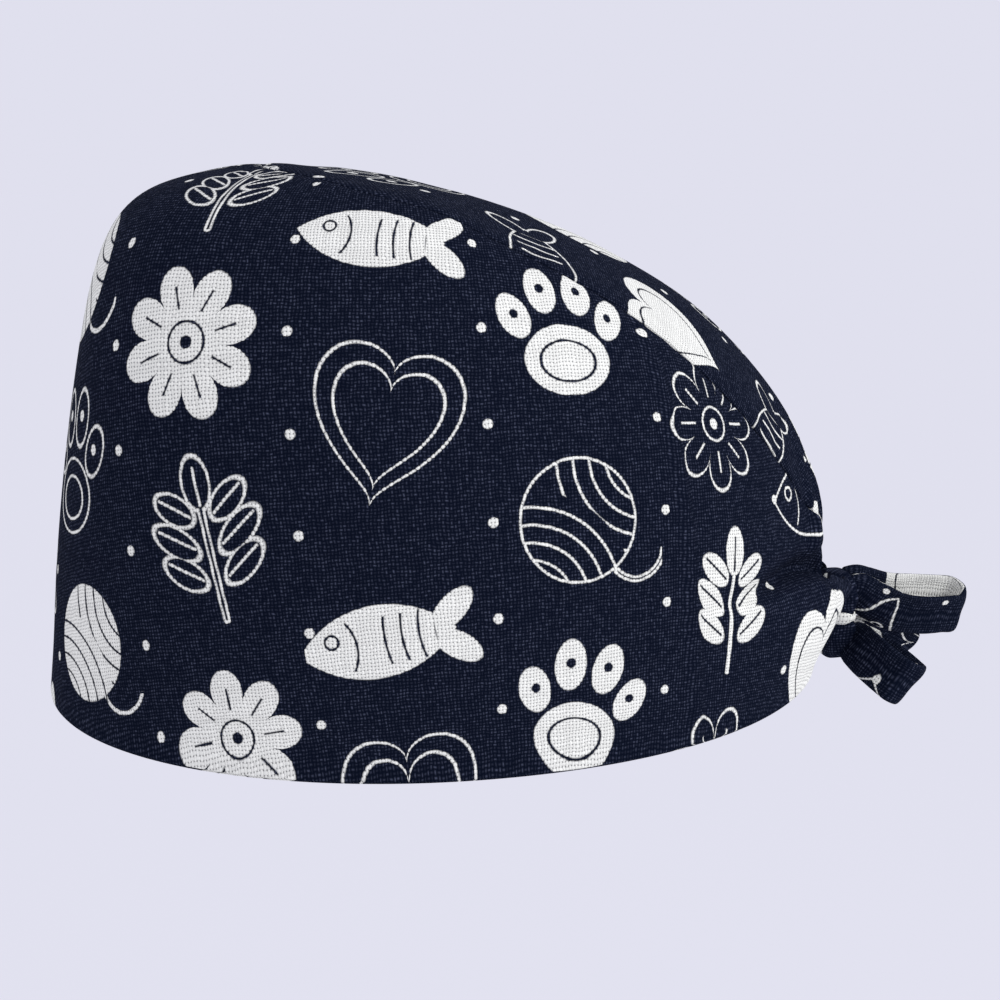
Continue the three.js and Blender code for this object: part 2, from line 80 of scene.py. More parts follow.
camera_data = bpy.data.cameras.new("camera")
camera_data.lens = LENS
camera_data.sensor_width = 36
camera_data.clip_start = 0.01
camera = bpy.data.objects.new("camera", camera_data)
camera.location = CAMERA_AT
camera.rotation_euler = (math.radians(CAMERA_PITCH), 0, math.radians(CAMERA_TURN))
bpy.context.collection.objects.link(camera)
bpy.context.scene.camera = camera
print("camera", round((CAMERA_AT - (cad_low + cad_high) / 2).length, 3), "m from the cap")

# %% [markdown]
# The cap keeps its worn shape, held up as a head would hold it, so the floor lies well below it
# and takes only a faint shadow. Floor and background share one pale lilac, and the floor glows a
# little so that its far edge melts into the background.

# %% Floor and background
PALE = (0.745, 0.745, 0.855)
FLOOR_BELOW = 0.5
FLOOR_REACH = 12.0
FLOOR_SHADE = 0.15

bm = bmesh.new()
bmesh.ops.create_circle(bm, cap_ends=True, segments=96, radius=FLOOR_REACH)
bmesh.ops.translate(bm, verts=bm.verts, vec=(0, 0, cad_low.z - FLOOR_BELOW))
floor_mesh = bpy.data.meshes.new("floor")
bm.to_mesh(floor_mesh)
bm.free()
floor = bpy.data.objects.new("floor", floor_mesh)
bpy.context.collection.objects.link(floor)
floor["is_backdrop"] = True

paper = bpy.data.materials.new("pale_paper")
paper.use_nodes = True
shader = paper.node_tree.nodes["Principled BSDF"]
shader.inputs["Base Color"].default_value = (FLOOR_SHADE, FLOOR_SHADE, FLOOR_SHADE, 1)
shader.inputs["Roughness"].default_value = 1.0
shader.inputs["Specular IOR Level"].default_value = 0.0
shader.inputs["Emission Color"].default_value = (*PALE, 1)
shader.inputs["Emission Strength"].default_value = 1 - FLOOR_SHADE
floor_mesh.materials.append(paper)

world = bpy.data.worlds.new("soft_daylight")
world.use_nodes = True
world.node_tree.nodes["Background"].inputs["Color"].default_value = (*PALE, 1)
world.node_tree.nodes["Background"].inputs["Strength"].default_value = 1.0
bpy.context.scene.world = world
bpy.context.scene.view_settings.view_transform = "Standard"
print("floor", FLOOR_BELOW, "m below the hem")

# %% [markdown]
# Three soft boxes light it: a large one over the camera's right shoulder, a weaker warm one from
# the wearer's front, and one above that lifts the crown.

# %% Lights
def soft_box(name, place, aim, size, power, colour):
    light = bpy.data.lights.new(name, "AREA")
    light.shape = "SQUARE"
    light.size = size
    light.energy = power
    light.color = colour
    lamp = bpy.data.objects.new(name, light)
    lamp.location = place
    lamp.rotation_euler = (Vector(aim) - Vector(place)).to_track_quat("-Z", "Y").to_euler()
    bpy.context.collection.objects.link(lamp)
    return lamp


soft_box("key", (0.62, 0.72, 0.42), (0, 0.03, 0.06), 0.5, 4.6, (1.0, 1.0, 1.0))
soft_box("front_fill", (0.55, -0.75, 0.30), (0, 0, 0.06), 0.6, 0.6, (1.0, 0.97, 0.90))
soft_box("top", (0.05, 0.25, 0.95), (0, 0.02, 0.08), 0.6, 0.6, (0.96, 0.98, 1.0))

# %% [markdown]
# Every curve of the cap runs through a short table of shares, so a helper draws a smooth curve
# through one column of a table. It never swings past the rows, which an ordinary spline would.

# %% Smooth curves through tables
def smooth_column(places, values):
    places = np.array(places, float)
    values = np.array(values, float)
    gap = np.diff(places)
    rise = np.diff(values) / gap
    before = 2 * gap[1:] + gap[:-1]
    after = gap[1:] + 2 * gap[:-1]
    same_way = rise[:-1] * rise[1:] > 0
    safe = np.where(same_way[None, :], (rise[:-1], rise[1:]), 1.0)
    slope = np.zeros(len(places))
    slope[1:-1] = np.where(same_way, (before + after) / (before / safe[0] + after / safe[1]), 0)
    slope[0] = end_slope(gap[0], gap[1], rise[0], rise[1])
    slope[-1] = end_slope(gap[-1], gap[-2], rise[-1], rise[-2])

    def at(x):
        x = np.clip(x, places[0], places[-1])
        i = np.clip(np.searchsorted(places, x, side="right") - 1, 0, len(gap) - 1)
        s = (x - places[i]) / gap[i]
        start = values[i] * (1 + 2 * s) * (1 - s) ** 2 + gap[i] * slope[i] * s * (1 - s) ** 2
        return start + values[i + 1] * s * s * (3 - 2 * s) + gap[i] * slope[i + 1] * s * s * (s - 1)

    return at


def end_slope(near, far, near_rise, far_rise):
    value = ((2 * near + far) * near_rise - near * far_rise) / (near + far)
    if value * near_rise <= 0:
        return 0.0
    if near_rise * far_rise < 0 and abs(value) > 3 * abs(near_rise):
        return 3 * near_rise
    return value


def table(names, rows):
    columns = list(zip(*rows))
    return {name: smooth_column(columns[0], columns[i + 1]) for i, name in enumerate(names)}


def ease(low, high, value):
    share = np.clip((value - low) / (high - low), 0, 1)
    return share * share * (3 - 2 * share)


print("a curve through 0, 1, 1:", smooth_column([0, 1, 2], [0, 1, 1])(np.array([0.5, 1.5])).round(3))

# %% [markdown]
# Three sizes rule the cap: the length and width of the head opening, which are those of an adult
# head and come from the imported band, and the height. Everything else is a share of them.

# %% Sizes of the cap
band_low, band_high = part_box("side_band")
HEAD_LENGTH = -2 * band_low.y
HEAD_WIDTH = band_high.x - band_low.x
CAP_HEIGHT = 130 * MM
print("opening", round(HEAD_WIDTH, 3), "by", round(HEAD_LENGTH, 3), "m")

# %% [markdown]
# The seam between crown and band runs from high over the forehead down to the nape. Its table
# goes from front to back: how far back it lies, how high, how wide, and how far the crown domes
# over it. A second table says which place of the seam stands over each place of the hem.

# %% The crown seam
CROWN_SEAM = table(("back", "up", "wide", "dome"), [
    (0.00, -0.427, 0.995, 0.897, 0.016), (0.05, -0.326, 0.984, 0.896, 0.012),
    (0.11, -0.226, 0.962, 0.819, 0.048), (0.19, -0.072, 0.929, 0.762, 0.053),
    (0.26, 0.033, 0.889, 0.708, 0.068), (0.36, 0.221, 0.814, 0.676, 0.082),
    (0.45, 0.362, 0.749, 0.643, 0.092), (0.59, 0.580, 0.613, 0.612, 0.125),
    (0.75, 0.831, 0.398, 0.548, 0.150), (0.84, 0.910, 0.288, 0.550, 0.155),
    (0.88, 0.909, 0.210, 0.625, 0.190), (0.92, 0.906, 0.140, 0.710, 0.220),
    (0.96, 0.934, 0.100, 0.730, 0.180), (1.00, 0.965, 0.070, 0.720, 0.120),
])
SEAM_TURN = table(("seam",), [
    (0, 0), (30, 16), (60, 34), (90, 56), (120, 88), (150, 128), (165, 152), (180, 180),
])


def seam_turn(turn):
    return math.copysign(float(SEAM_TURN["seam"](abs(turn))), turn)


half_way = float(CROWN_SEAM["up"](0.5)) * CAP_HEIGHT
print("half way back the seam stands", round(half_way, 3), "m above the hem")

# %% [markdown]
# The crown of a real cap is a flat oval sewn into a shorter edge, so it stands up in the middle
# by itself. A cloth simulation could blow it up, but its worn shape is known, so one function
# gives every point: a parabola over the seam line, drawn in by small pleats near its back hem.

# %% The crown's surface
GATHER_DEPTH = 1.1 * MM
GATHERS = 9                # small pleats over the back 80 degrees
GATHER_TURN = 137          # degrees from the front, where they begin


def crown_point(turn, ring):
    """Points of the crown: turn goes round the seam in degrees, ring is 1 at the seam, 0 amid."""
    front = ring * np.cos(np.radians(turn))
    side = ring * np.sin(np.radians(turn))
    along = (1 - front) / 2

    def line(share):
        return CROWN_SEAM["back"](share) * HEAD_LENGTH / 2, CROWN_SEAM["up"](share) * CAP_HEIGHT

    y, z = line(along)
    y_before, z_before = line(np.clip(along - 0.001, 0, 1))
    y_after, z_after = line(np.clip(along + 0.001, 0, 1))
    steep = np.hypot(y_after - y_before, z_after - z_before)
    pleat = GATHER_DEPTH * ease(GATHER_TURN, GATHER_TURN + 15, np.abs(turn)) * ring**9
    pleat = pleat * np.cos(np.radians(turn - 180) * GATHERS * 360 / 80)
    height = CROWN_SEAM["dome"](along) * CAP_HEIGHT * (1 - ring**2) - np.abs(pleat) + pleat / 2
    x = CROWN_SEAM["wide"](along) * HEAD_WIDTH / 2 * side
    y = y + height * (z_before - z_after) / steep
    z = z + height * (y_after - y_before) / steep
    return np.stack([x, y, z], -1)


top = crown_point(np.array(0.0), np.array(0.0))
print("the middle of the crown is", (top * 1000).round(1))

# %% [markdown]
# The band's lower hem follows the head. An ellipse is a little too pointed at the front, so both
# sine and cosine are taken to a power just under one, which squares the oval slightly.

# %% The oval of the opening
OPENING_POWER = 2.05


def opening_at(turn):
    c = math.cos(math.radians(turn))
    s = math.sin(math.radians(turn))
    power = 2 / OPENING_POWER
    place = np.array([HEAD_WIDTH / 2 * math.copysign(abs(s) ** power, s),
                      -HEAD_LENGTH / 2 * math.copysign(abs(c) ** power, c), 0])
    outwards = place / np.array([HEAD_WIDTH**2, HEAD_LENGTH**2, 1])
    return place, outwards / np.linalg.norm(outwards)


print("left of the middle, the hem passes", (opening_at(90)[0] / MM).round(1), "mm")

# %% [markdown]
# Two tables go round the hem by degrees from the front. The first sets the two handles of a
# Bezier curve, which give the front its bulge. The second turns the back of the band into the
# strap: its lower and upper edge, how far the knot pulls it out, its swelling, and the tuck.

# %% The band's two tables
BAND_RISE = table(("lean", "lift", "shoulder", "drop"), [
    (0, 0.26, 0.997, 0.707, 0.046), (30, 0.20, 0.923, 0.657, 0.054), (60, 0.11, 0.675, 0.600, 0.090),
    (90, 0.05, 0.500, 0.620, 0.120), (120, 0, 0.450, 0.600, 0.200), (150, 0, 0.400, 0.400, 0.300),
    (180, 0, 0.350, 0.300, 0.350),
])
STRAP = table(("low", "top", "out", "puff", "tuck"), [
    (0, 0, 0.238, 0, 0, 0), (118, 0, 0.238, 0, 0, 0), (130, 0, 0.238, 0, 0.010, 0.014),
    (143, 0, 0.234, 0, 0.030, 0.036), (150, 0, 0.226, 0.002, 0.038, 0.042),
    (155, 0, 0.216, 0.008, 0.040, 0.022), (160, 0, 0.204, 0.017, 0.040, 0),
    (166, 0.006, 0.180, 0.034, 0.038, 0), (171, 0.034, 0.156, 0.060, 0.030, 0),
    (176, 0.066, 0.142, 0.082, 0.012, 0), (180, 0.074, 0.138, 0.086, 0.006, 0),
])
SEAM_END = 148             # degrees, where the band begins to lap over the crown's back hem
SEAM_LAP = 2.4 * MM
STRAP_START = 155          # degrees, where the strap's top edge leaves the seam
STRAP_LEAVE = 6            # degrees that it takes to do so
STRAP_PULL = 164           # degrees; from here the knot pulls the hem of the strap outwards too
STRAP_OVER = 1.2 * MM      # how far the strap's top edge stands out over its lower one
TUCK_BELOW = 1.4 * MM      # the tuck is sharp on the strap's side and soft above it
TUCK_ABOVE = 4.0 * MM
strap_tall = round(float(STRAP["top"](130) * CAP_HEIGHT / MM))
print("the strap is", strap_tall, "mm tall where it leaves the band")

# %% [markdown]
# From each place of the hem a column of cloth rises to the seam on one such curve. Towards the
# back it swells into the strap. A sharp tuck above the strap takes up the cloth to spare, as a
# knot that is pulled tight makes it do.

# %% The band's columns
COLUMN_STEPS = 400


def band_column(turn):
    """The band's outer line at one turn of the opening, hem first, as many close points."""
    size = abs(turn)
    hem, outwards = opening_at(turn)
    low = STRAP["low"](size) * CAP_HEIGHT
    top = STRAP["top"](size) * CAP_HEIGHT
    out = STRAP["out"](size) * CAP_HEIGHT
    strap_top = hem + outwards * (out + STRAP_OVER) + np.array([0, 0, top])
    hem = hem + outwards * out * ease(STRAP_PULL, STRAP_PULL + 13, size) + np.array([0, 0, low])
    free = ease(STRAP_START, STRAP_START + STRAP_LEAVE, size)
    lap = SEAM_LAP * ease(SEAM_END, SEAM_END + 2, size)
    seam = crown_point(np.array(seam_turn(turn)), np.array(1.0)) + outwards * lap
    end = seam * (1 - free) + strap_top * free
    height = np.array([0, 0, end[2] - low])
    run = (end - hem) * np.array([1, 1, 0])
    low_handle = hem + run * BAND_RISE["lean"](size) + height * BAND_RISE["lift"](size)
    high_handle = end - run * BAND_RISE["shoulder"](size) - height * BAND_RISE["drop"](size)
    t = np.linspace(0, 1, COLUMN_STEPS)[:, None]
    line = hem * (1 - t) ** 3 + low_handle * 3 * t * (1 - t) ** 2
    line = line + high_handle * 3 * t * t * (1 - t) + end * t**3
    z = line[:, 2]
    part = np.clip((z - low) / (top - low), 0, 1)
    full = STRAP["puff"](size) * CAP_HEIGHT * np.sin(np.pi * part**1.5)
    near_end = 1 - ease(end[2] - TUCK_ABOVE, end[2], z) * (1 - free)
    crease = np.exp(-(((z - top) / np.where(z < top, TUCK_BELOW, TUCK_ABOVE)) ** 2))
    fold = STRAP["tuck"](size) * CAP_HEIGHT * crease * near_end
    return line + outwards * (full - fold)[:, None]


print("the band is", round(float(np.ptp(band_column(0)[:, 2]) * 1000)), "mm tall in front")

# %% [markdown]
# A hem and a seam are both made by folding the cloth's edge under itself, so every column of a
# sheet runs up the inside, round the fold, over the outside, and round again at the seam. One
# recipe of rows does that for any column: a row stands some way along it, some depth below the
# outer face and some way past the fold's start.

# %% Folding an edge under
FOLD = 0.60 * MM           # radius of a fold, a little more than one layer of cloth
SEAM_OPEN = 0.32 * MM      # how far each edge stands back from the seam line
HEM_ALLOWANCE = 12 * MM
SEAM_ALLOWANCE = 7 * MM
FOLD_ROWS = 6


def rows_under_hem():
    down = np.linspace(HEM_ALLOWANCE, FOLD, 8)[:-1]
    turned = np.linspace(np.pi, 0, FOLD_ROWS + 1)
    rows = [(s, 0, 0, 2 * FOLD, 0) for s in down]
    return rows + [(FOLD, 0, 0, FOLD - FOLD * np.cos(a), -FOLD * np.sin(a)) for a in turned[:-1]]


def rows_over(count, start, power=1.0):
    return [(start, FOLD + SEAM_OPEN, share, 0, 0) for share in np.linspace(0, 1, count) ** power]


def rows_under_seam():
    turned = np.linspace(0, np.pi, FOLD_ROWS + 1)
    back = np.linspace(FOLD, SEAM_ALLOWANCE, 6)[1:]
    rows = [(0, FOLD + SEAM_OPEN, 1, FOLD - FOLD * np.cos(a), FOLD * np.sin(a)) for a in turned[1:]]
    return rows + [(0, s, 1, 2 * FOLD, 0) for s in back]


print("a hem takes", len(rows_under_hem()), "rows and a seam takes", len(rows_under_seam()))

# %% [markdown]
# The recipe needs two more things: how far along a column each point lies, and which way is
# outwards there. The outward directions come from the slopes of the grid of points, and are
# softened so that a fold under the hem isn't torn by a small wave in the cloth.

# %% Lengths and directions on a sheet
def arc_lengths(line):
    return np.concatenate([[0], np.cumsum(np.linalg.norm(np.diff(line, axis=0), axis=1))])


def along(line, lengths, at):
    return np.stack([np.interp(at, lengths, line[:, k]) for k in range(3)], -1)


def evenly(line, count):
    lengths = arc_lengths(line)
    return along(line, lengths, np.linspace(0, lengths[-1], count))


def unit(vectors):
    return vectors / np.maximum(np.linalg.norm(vectors, axis=-1, keepdims=True), 1e-12)


def softened(vectors, passes, closed):
    for _ in range(passes):
        edge = "wrap" if closed else "edge"
        wide = np.pad(vectors, ((1, 1), (0, 0), (0, 0)), mode=edge)
        vectors = wide[:-2] + wide[1:-1] + wide[2:]
        tall = np.pad(vectors, ((0, 0), (1, 1), (0, 0)), mode="edge")
        vectors = unit(tall[:, :-2] + tall[:, 1:-1] + tall[:, 2:])
    return vectors


SOFTENING = 4


def sheet_normals(columns, closed):
    """Outward directions of a grid of points, columns by samples."""
    if closed:
        wide = np.concatenate([columns[-1:], columns, columns[:1]])
        across = (wide[2:] - wide[:-2]) / 2
    else:
        across = np.gradient(columns, axis=0)
    rising = np.gradient(columns, axis=1)
    return softened(unit(np.cross(unit(across), unit(rising))), SOFTENING, closed)


print("half way from x to y:", along(np.eye(3)[:2], np.array([0, 2]), 1))

# %% [markdown]
# With both at hand, the recipe is followed column by column. Depth goes inwards from the outer
# face, and lift goes on past the end of the column, which together draw the half circle of a fold.

# %% The folded sheet
def folded(columns, normals, recipe):
    """Points of the sheet, columns by rows, from its outer face and a recipe of rows."""
    start, end, share, depth, lift = np.array(recipe).T
    sheet = []
    for line, normal in zip(columns, normals):
        lengths = arc_lengths(line)
        at = start + share * (lengths[-1] - start - end)
        rising = unit(np.gradient(line, axis=0))
        place = along(line, lengths, at)
        inwards = unit(along(normal, lengths, at))
        forward = unit(along(rising, lengths, at))
        sheet.append(place - inwards * depth[:, None] + forward * lift[:, None])
    return np.array(sheet)


strip = np.zeros((2, 11, 3))
strip[..., 1] = np.linspace(0, 50, 11) * MM
hem_of_strip = folded(strip, np.broadcast_to((0, 0, 1), strip.shape), rows_under_hem())
print("a folded hem is", round(float(-hem_of_strip[..., 2].min() / MM), 2), "mm from face to face")

# %% [markdown]
# The sheet itself starts as a flat grid, like cloth on a table, and each of its vertices is
# moved to its place. A grid keeps the rows and columns in order, which the cloth's own
# coordinates need as well.

# %% Bending a grid
def bent_grid(places, flat=None):
    columns, rows = places.shape[:2]
    bm = bmesh.new()
    bmesh.ops.create_grid(bm, x_segments=columns - 1, y_segments=rows - 1, size=1)
    where = {}
    for vert in bm.verts:
        c = round((vert.co.x + 1) / 2 * (columns - 1))
        r = round((vert.co.y + 1) / 2 * (rows - 1))
        where[vert] = (c, r)
        vert.co = places[c, r]
    if flat is not None:
        layer = bm.loops.layers.uv.new("cloth")
        for face in bm.faces:
            for loop in face.loops:
                loop[layer].uv = flat[where[loop.vert]]
    return bm


def make_piece(name, bm):
    mesh = bpy.data.meshes.new(name)
    for face in bm.faces:
        face.smooth = True
    bm.to_mesh(mesh)
    bm.free()
    piece = bpy.data.objects.new(name, mesh)
    bpy.context.collection.objects.link(piece)
    print(name, len(mesh.vertices), "vertices")
    return piece


# %% [markdown]
# Flat cloth carries the print, so each sheet is laid flat again to learn where every point of it
# lies on the bolt. Blender unwraps a coarse copy of the sheet, which is quick, and the finer
# sheet reads its places from that. The result is scaled until the flat cloth has the area of the
# worn one, and turned so that the print stands upright.

# %% Laying the cloth flat
def grid_area(grid):
    one = grid[1:, 1:] - grid[:-1, :-1]
    other = grid[1:, :-1] - grid[:-1, 1:]
    if grid.shape[-1] == 2:
        return np.abs(one[..., 0] * other[..., 1] - one[..., 1] * other[..., 0]).sum() / 2
    return np.linalg.norm(np.cross(one, other), axis=-1).sum() / 2


def laid_flat(places, make, upright, middle, offset):
    """Flat places of a sheet, columns by rows. upright and middle set the print's way up."""
    columns, rows = places.shape[:2]
    some_columns = np.unique(np.append(np.arange(0, columns, 4), columns - 1))
    some_rows = np.unique(np.append(np.arange(0, rows, 3), rows - 1))
    coarse = make_piece("coarse_copy", make(places[np.ix_(some_columns, some_rows)]))
    bpy.context.view_layer.objects.active = coarse
    bpy.ops.object.mode_set(mode="EDIT")
    bpy.ops.mesh.select_all(action="SELECT")
    bpy.ops.uv.unwrap(method="ANGLE_BASED", margin=0.001)
    bpy.ops.object.mode_set(mode="OBJECT")
    mesh = coarse.data
    unwrapped = np.empty(len(mesh.loops) * 2)
    mesh.uv_layers[0].data.foreach_get("uv", unwrapped)
    corner = np.empty(len(mesh.loops), int)
    mesh.loops.foreach_get("vertex_index", corner)
    spots = np.array([vert.co for vert in mesh.vertices])
    flat = np.zeros((len(spots), 2))
    flat[corner] = unwrapped.reshape(-1, 2)
    bpy.data.objects.remove(coarse)
    wanted = places[np.ix_(some_columns, some_rows)].reshape(-1, 3)
    order = np.array([int(np.argmin(((spots - spot) ** 2).sum(axis=1))) for spot in wanted])
    flat = flat[order].reshape(len(some_columns), len(some_rows), 2)
    flat = np.stack([[np.interp(np.arange(rows), some_rows, line[:, k]) for line in flat]
                     for k in range(2)], -1)
    flat = np.stack([[np.interp(np.arange(columns), some_columns, flat[:, r, k]) for r in range(rows)]
                     for k in range(2)], -1).transpose(1, 0, 2)
    way = unit(flat[upright] - flat[middle])
    turn = np.array([[way[1], -way[0]], [way[0], way[1]]])
    flat = (flat - flat[middle]) @ turn.T * math.sqrt(grid_area(places) / grid_area(flat))
    print("laid flat, the sheet covers", (np.ptp(flat, axis=(0, 1)) * 1000).round(), "mm")
    return flat + np.array(offset)


# %% [markdown]
# The side band is one long strip, sewn to the crown round its top and narrowing at the back to
# the two straps. Worn cloth is never quite even: it has broad shallow waves, small puckers along
# the seam, and folds that run into the knot. Each of these is a small move along the cloth's
# outward direction.

# %% The cloth's small waves
BAND_END = 176.3           # degrees; the straps end inside the knot
BAND_SAMPLES = 181         # close points up each column
WAVE = 0.35 * MM           # the broad shallow waves
PUCKER = 0.30 * MM         # the puckers along the seam, their spacing, and how soon they fade
PUCKER_PITCH = 7 * MM
PUCKER_REACH = 4.5 * MM
SEAM_DIP = 1.0 * MM        # how deep the stitching draws the cloth in, and how soon that fades
DIP_REACH = 2.2 * MM
STRAP_FOLD = 0.4 * MM      # the folds that run into the knot

half = np.concatenate([np.arange(0, 118, 1.5), np.arange(118, BAND_END, 0.5)])
BAND_TURNS = np.concatenate([-half[:0:-1], half])
band_columns = np.array([evenly(band_column(turn), BAND_SAMPLES) for turn in BAND_TURNS])
band_normals = sheet_normals(band_columns, closed=False)


def band_relief(columns):
    """How far the cloth moves outwards, for every column and sample of the band."""
    hem = arc_lengths(columns[:, 0])[:, None]
    tall = np.array([arc_lengths(line) for line in columns])
    left = tall[:, -1:] - tall
    turn = np.abs(BAND_TURNS)[:, None]
    waves = np.sin(hem / 0.0135 + 2.1 * np.sin(tall / 0.041)) * np.sin(tall / 0.023 + hem / 0.07)
    waves = waves + 0.7 * np.sin(hem / 0.031 - tall / 0.019 + 1.3)
    relief = WAVE * waves * ease(0, 0.03, tall) * ease(0, 0.012, left)
    puckers = np.sin(hem * 2 * np.pi / PUCKER_PITCH + 1.7 * np.sin(hem / 0.019))
    relief = relief + PUCKER * puckers * np.exp(-left / PUCKER_REACH) * ease(0, 0.002, left)
    relief = relief - SEAM_DIP * np.exp(-left / DIP_REACH)
    share = tall / tall[:, -1:]
    folds = np.sin(share * 2 * np.pi * 1.3 + 0.9 + np.sin(turn / 9)) * np.sin(np.pi * share)
    relief = relief + STRAP_FOLD * folds * ease(150, 172, turn)
    return relief


band_waves = band_relief(band_columns)
print("the band's cloth moves in and out by", (np.ptp(band_waves) / MM).round(2), "mm")

# %% [markdown]
# Now the columns are moved by those waves and folded at hem and seam. The rows stand closer near
# the seam, where the cloth bends most. The print is upright on the side that the camera sees, a
# quarter of a turn from the front, between a row low on the band and one high up.

# %% The side band
BAND_ROWS = 86
CLOSER_UP = 0.8            # below one, the rows crowd towards the seam
BAND_PRINT = (0.002, 0.019)    # metres that the print is shifted along and up the cloth

band_columns = band_columns + band_normals * band_waves[..., None]
band_normals = sheet_normals(band_columns, closed=False)
HEM_ROWS = len(rows_under_hem())
band_recipe = rows_under_hem() + rows_over(BAND_ROWS, FOLD, CLOSER_UP) + rows_under_seam()
band_places = folded(band_columns, band_normals, band_recipe)
near_side = int(np.argmin(np.abs(BAND_TURNS - 90)))
low_row, high_row = HEM_ROWS + 5, HEM_ROWS + 60
band_flat = laid_flat(band_places, bent_grid, (near_side, high_row), (near_side, low_row), BAND_PRINT)
side_band = make_piece("side_band_cloth", bent_grid(band_places, band_flat))

# %% [markdown]
# The crown panel is an oval of the same cloth, with the same waves and puckers. At the back its
# edge is drawn up in small gathers, so more of its columns stand there than at the front.

# %% The crown's gathers
CROWN_COLUMNS = 360
CROWN_SAMPLES = 121
FINE_GATHERS = 1.0 * MM    # how far they stand out at the hem, and how soon they fade
GATHER_REACH = 20 * MM

spread = np.linspace(-1, 1, CROWN_COLUMNS, endpoint=False)
CROWN_TURNS = np.sign(spread) * smooth_column([0, 0.5, 1], [0, 118, 180])(np.abs(spread))
crown_shares = np.sin(np.linspace(0, np.pi / 2, CROWN_SAMPLES)) ** 1.1
crown_columns = np.array([evenly(crown_point(turn, crown_shares), CROWN_SAMPLES) for turn in CROWN_TURNS])
crown_normals = -sheet_normals(crown_columns, closed=True)


def crown_relief(columns):
    edge = arc_lengths(np.concatenate([columns[:, -1], columns[:1, -1]]))[:-1, None]
    reach = np.array([arc_lengths(line) for line in columns])
    left = reach[:, -1:] - reach
    turn = np.abs(CROWN_TURNS)[:, None]
    x, y = columns[..., 0], columns[..., 1]
    waves = np.sin(x / 0.014 + 1.4 * np.sin(y / 0.03)) * np.sin(y / 0.02 + x / 0.06)
    relief = WAVE * waves * ease(0, 0.015, left)
    puckers = np.sin(edge * 2 * np.pi / PUCKER_PITCH + 1.1)
    relief = relief + PUCKER * puckers * np.exp(-left / PUCKER_REACH) * ease(0, 0.002, left)
    relief = relief - SEAM_DIP * np.exp(-left / DIP_REACH)
    gathers = np.sin(edge / 0.0013 + 1.8 * np.sin(edge / 0.009)) + 0.6 * np.sin(edge / 0.0021)
    relief = relief + FINE_GATHERS * gathers * np.exp(-left / GATHER_REACH) * ease(108, 136, turn)
    return relief


crown_waves = crown_relief(crown_columns)
print("the crown's cloth moves in and out by", (np.ptp(crown_waves) / MM).round(2), "mm")

# %% [markdown]
# A line of points that is spun right round makes a disc of rings, and every vertex of it is then
# moved onto the dome. A spin closes on itself when its doubles are merged, so the crown has no
# slit. A disc may come out facing down, so the middle face is looked at and all are turned.

# %% The crown panel
crown_columns = crown_columns + crown_normals * crown_waves[..., None]
crown_normals = -sheet_normals(crown_columns, closed=True)
CROWN_ROWS = 58
crown_recipe = rows_over(CROWN_ROWS, 0) + rows_under_seam()
crown_places = folded(crown_columns, crown_normals, crown_recipe)


def spun_disc(places, flat=None):
    columns, rows = places.shape[:2]
    bm = bmesh.new()
    layer = bm.loops.layers.uv.new("cloth")
    where = {}
    line = [bm.verts.new((r, 0, 0)) for r in range(rows)]
    edges = [bm.edges.new(pair) for pair in zip(line, line[1:])]
    bmesh.ops.spin(bm, geom=line + edges, cent=(0, 0, 0), axis=(0, 0, 1), angle=2 * math.pi,
                   steps=columns, use_merge=True)
    bmesh.ops.remove_doubles(bm, verts=bm.verts, dist=0.001)
    for vert in bm.verts:
        r = round(math.hypot(vert.co.x, vert.co.y))
        c = round(math.atan2(vert.co.y, vert.co.x) / (2 * math.pi) * columns) % columns
        where[vert] = (c, r)
        vert.co = places[c, r]
    if flat is not None:
        for face in bm.faces:
            for loop in face.loops:
                loop[layer].uv = flat[where[loop.vert]]
    bm.normal_update()
    middle = min(bm.faces, key=lambda face: (face.calc_center_median() - Vector(places[0, 0])).length)
    if middle.normal.z < 0:
        bmesh.ops.reverse_faces(bm, faces=bm.faces)
    return bm


CROWN_PRINT = (0.4, 0.2)   # the crown is cut from another stretch of the bolt
front = int(np.argmin(np.abs(CROWN_TURNS)))
crown_flat = laid_flat(crown_places, spun_disc, (front, 45), (front, 5), CROWN_PRINT)
crown_panel = make_piece("crown_panel_cloth", spun_disc(crown_places, crown_flat))

# %% [markdown]
# The ties are the same cloth folded in four and sewn flat, about 13 mm wide. Each loop and each
# end is swept along a smooth path, with a rounded flat section. Its first and last rings shrink
# to a point, so the strap is closed where it goes into the knot.

# %% The straps' sizes
knot_low, knot_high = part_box("bow_knot")
KNOT_MIDDLE = np.array((knot_low + knot_high) / 2)
KNOT_SIZE = np.array(knot_high - knot_low)
TIE_WIDTH = 13 * MM
TIE_THICK = 2.5 * MM
LOOP_LENGTH = 34 * MM
AROUND = 56                # vertices round a strap
ALONG = 150                # rings along it
ROUNDED_END = 1.2 * MM
LIMP = 0.45 * MM           # how far a strap bends across its width
print("the knot is", (KNOT_SIZE / MM).round(1), "mm")

# %% [markdown]
# A strap follows a smooth curve through a few stations. An ordinary curve object could carry a
# bevel, but it gives no hold on the width and the creases, so the rings are placed one by one.

# %% A smooth path
def smooth_path(points, count):
    """Evenly spaced points on one smooth curve through a few, by arc length."""
    points = np.array(points, float)
    step = np.concatenate([[0], np.cumsum(np.linalg.norm(np.diff(points, axis=0), axis=1) ** 0.5)])
    slope = np.gradient(points, step, axis=0)
    at = np.linspace(0, step[-1], 40 * len(points))
    i = np.clip(np.searchsorted(step, at, side="right") - 1, 0, len(step) - 2)
    gap = (step[i + 1] - step[i])[:, None]
    s = (at - step[i])[:, None] / gap
    line = points[i] * (1 + 2 * s) * (1 - s) ** 2 + gap * slope[i] * s * (1 - s) ** 2
    line = line + points[i + 1] * s * s * (3 - 2 * s) + gap * slope[i + 1] * s * s * (s - 1)
    return evenly(line, count)


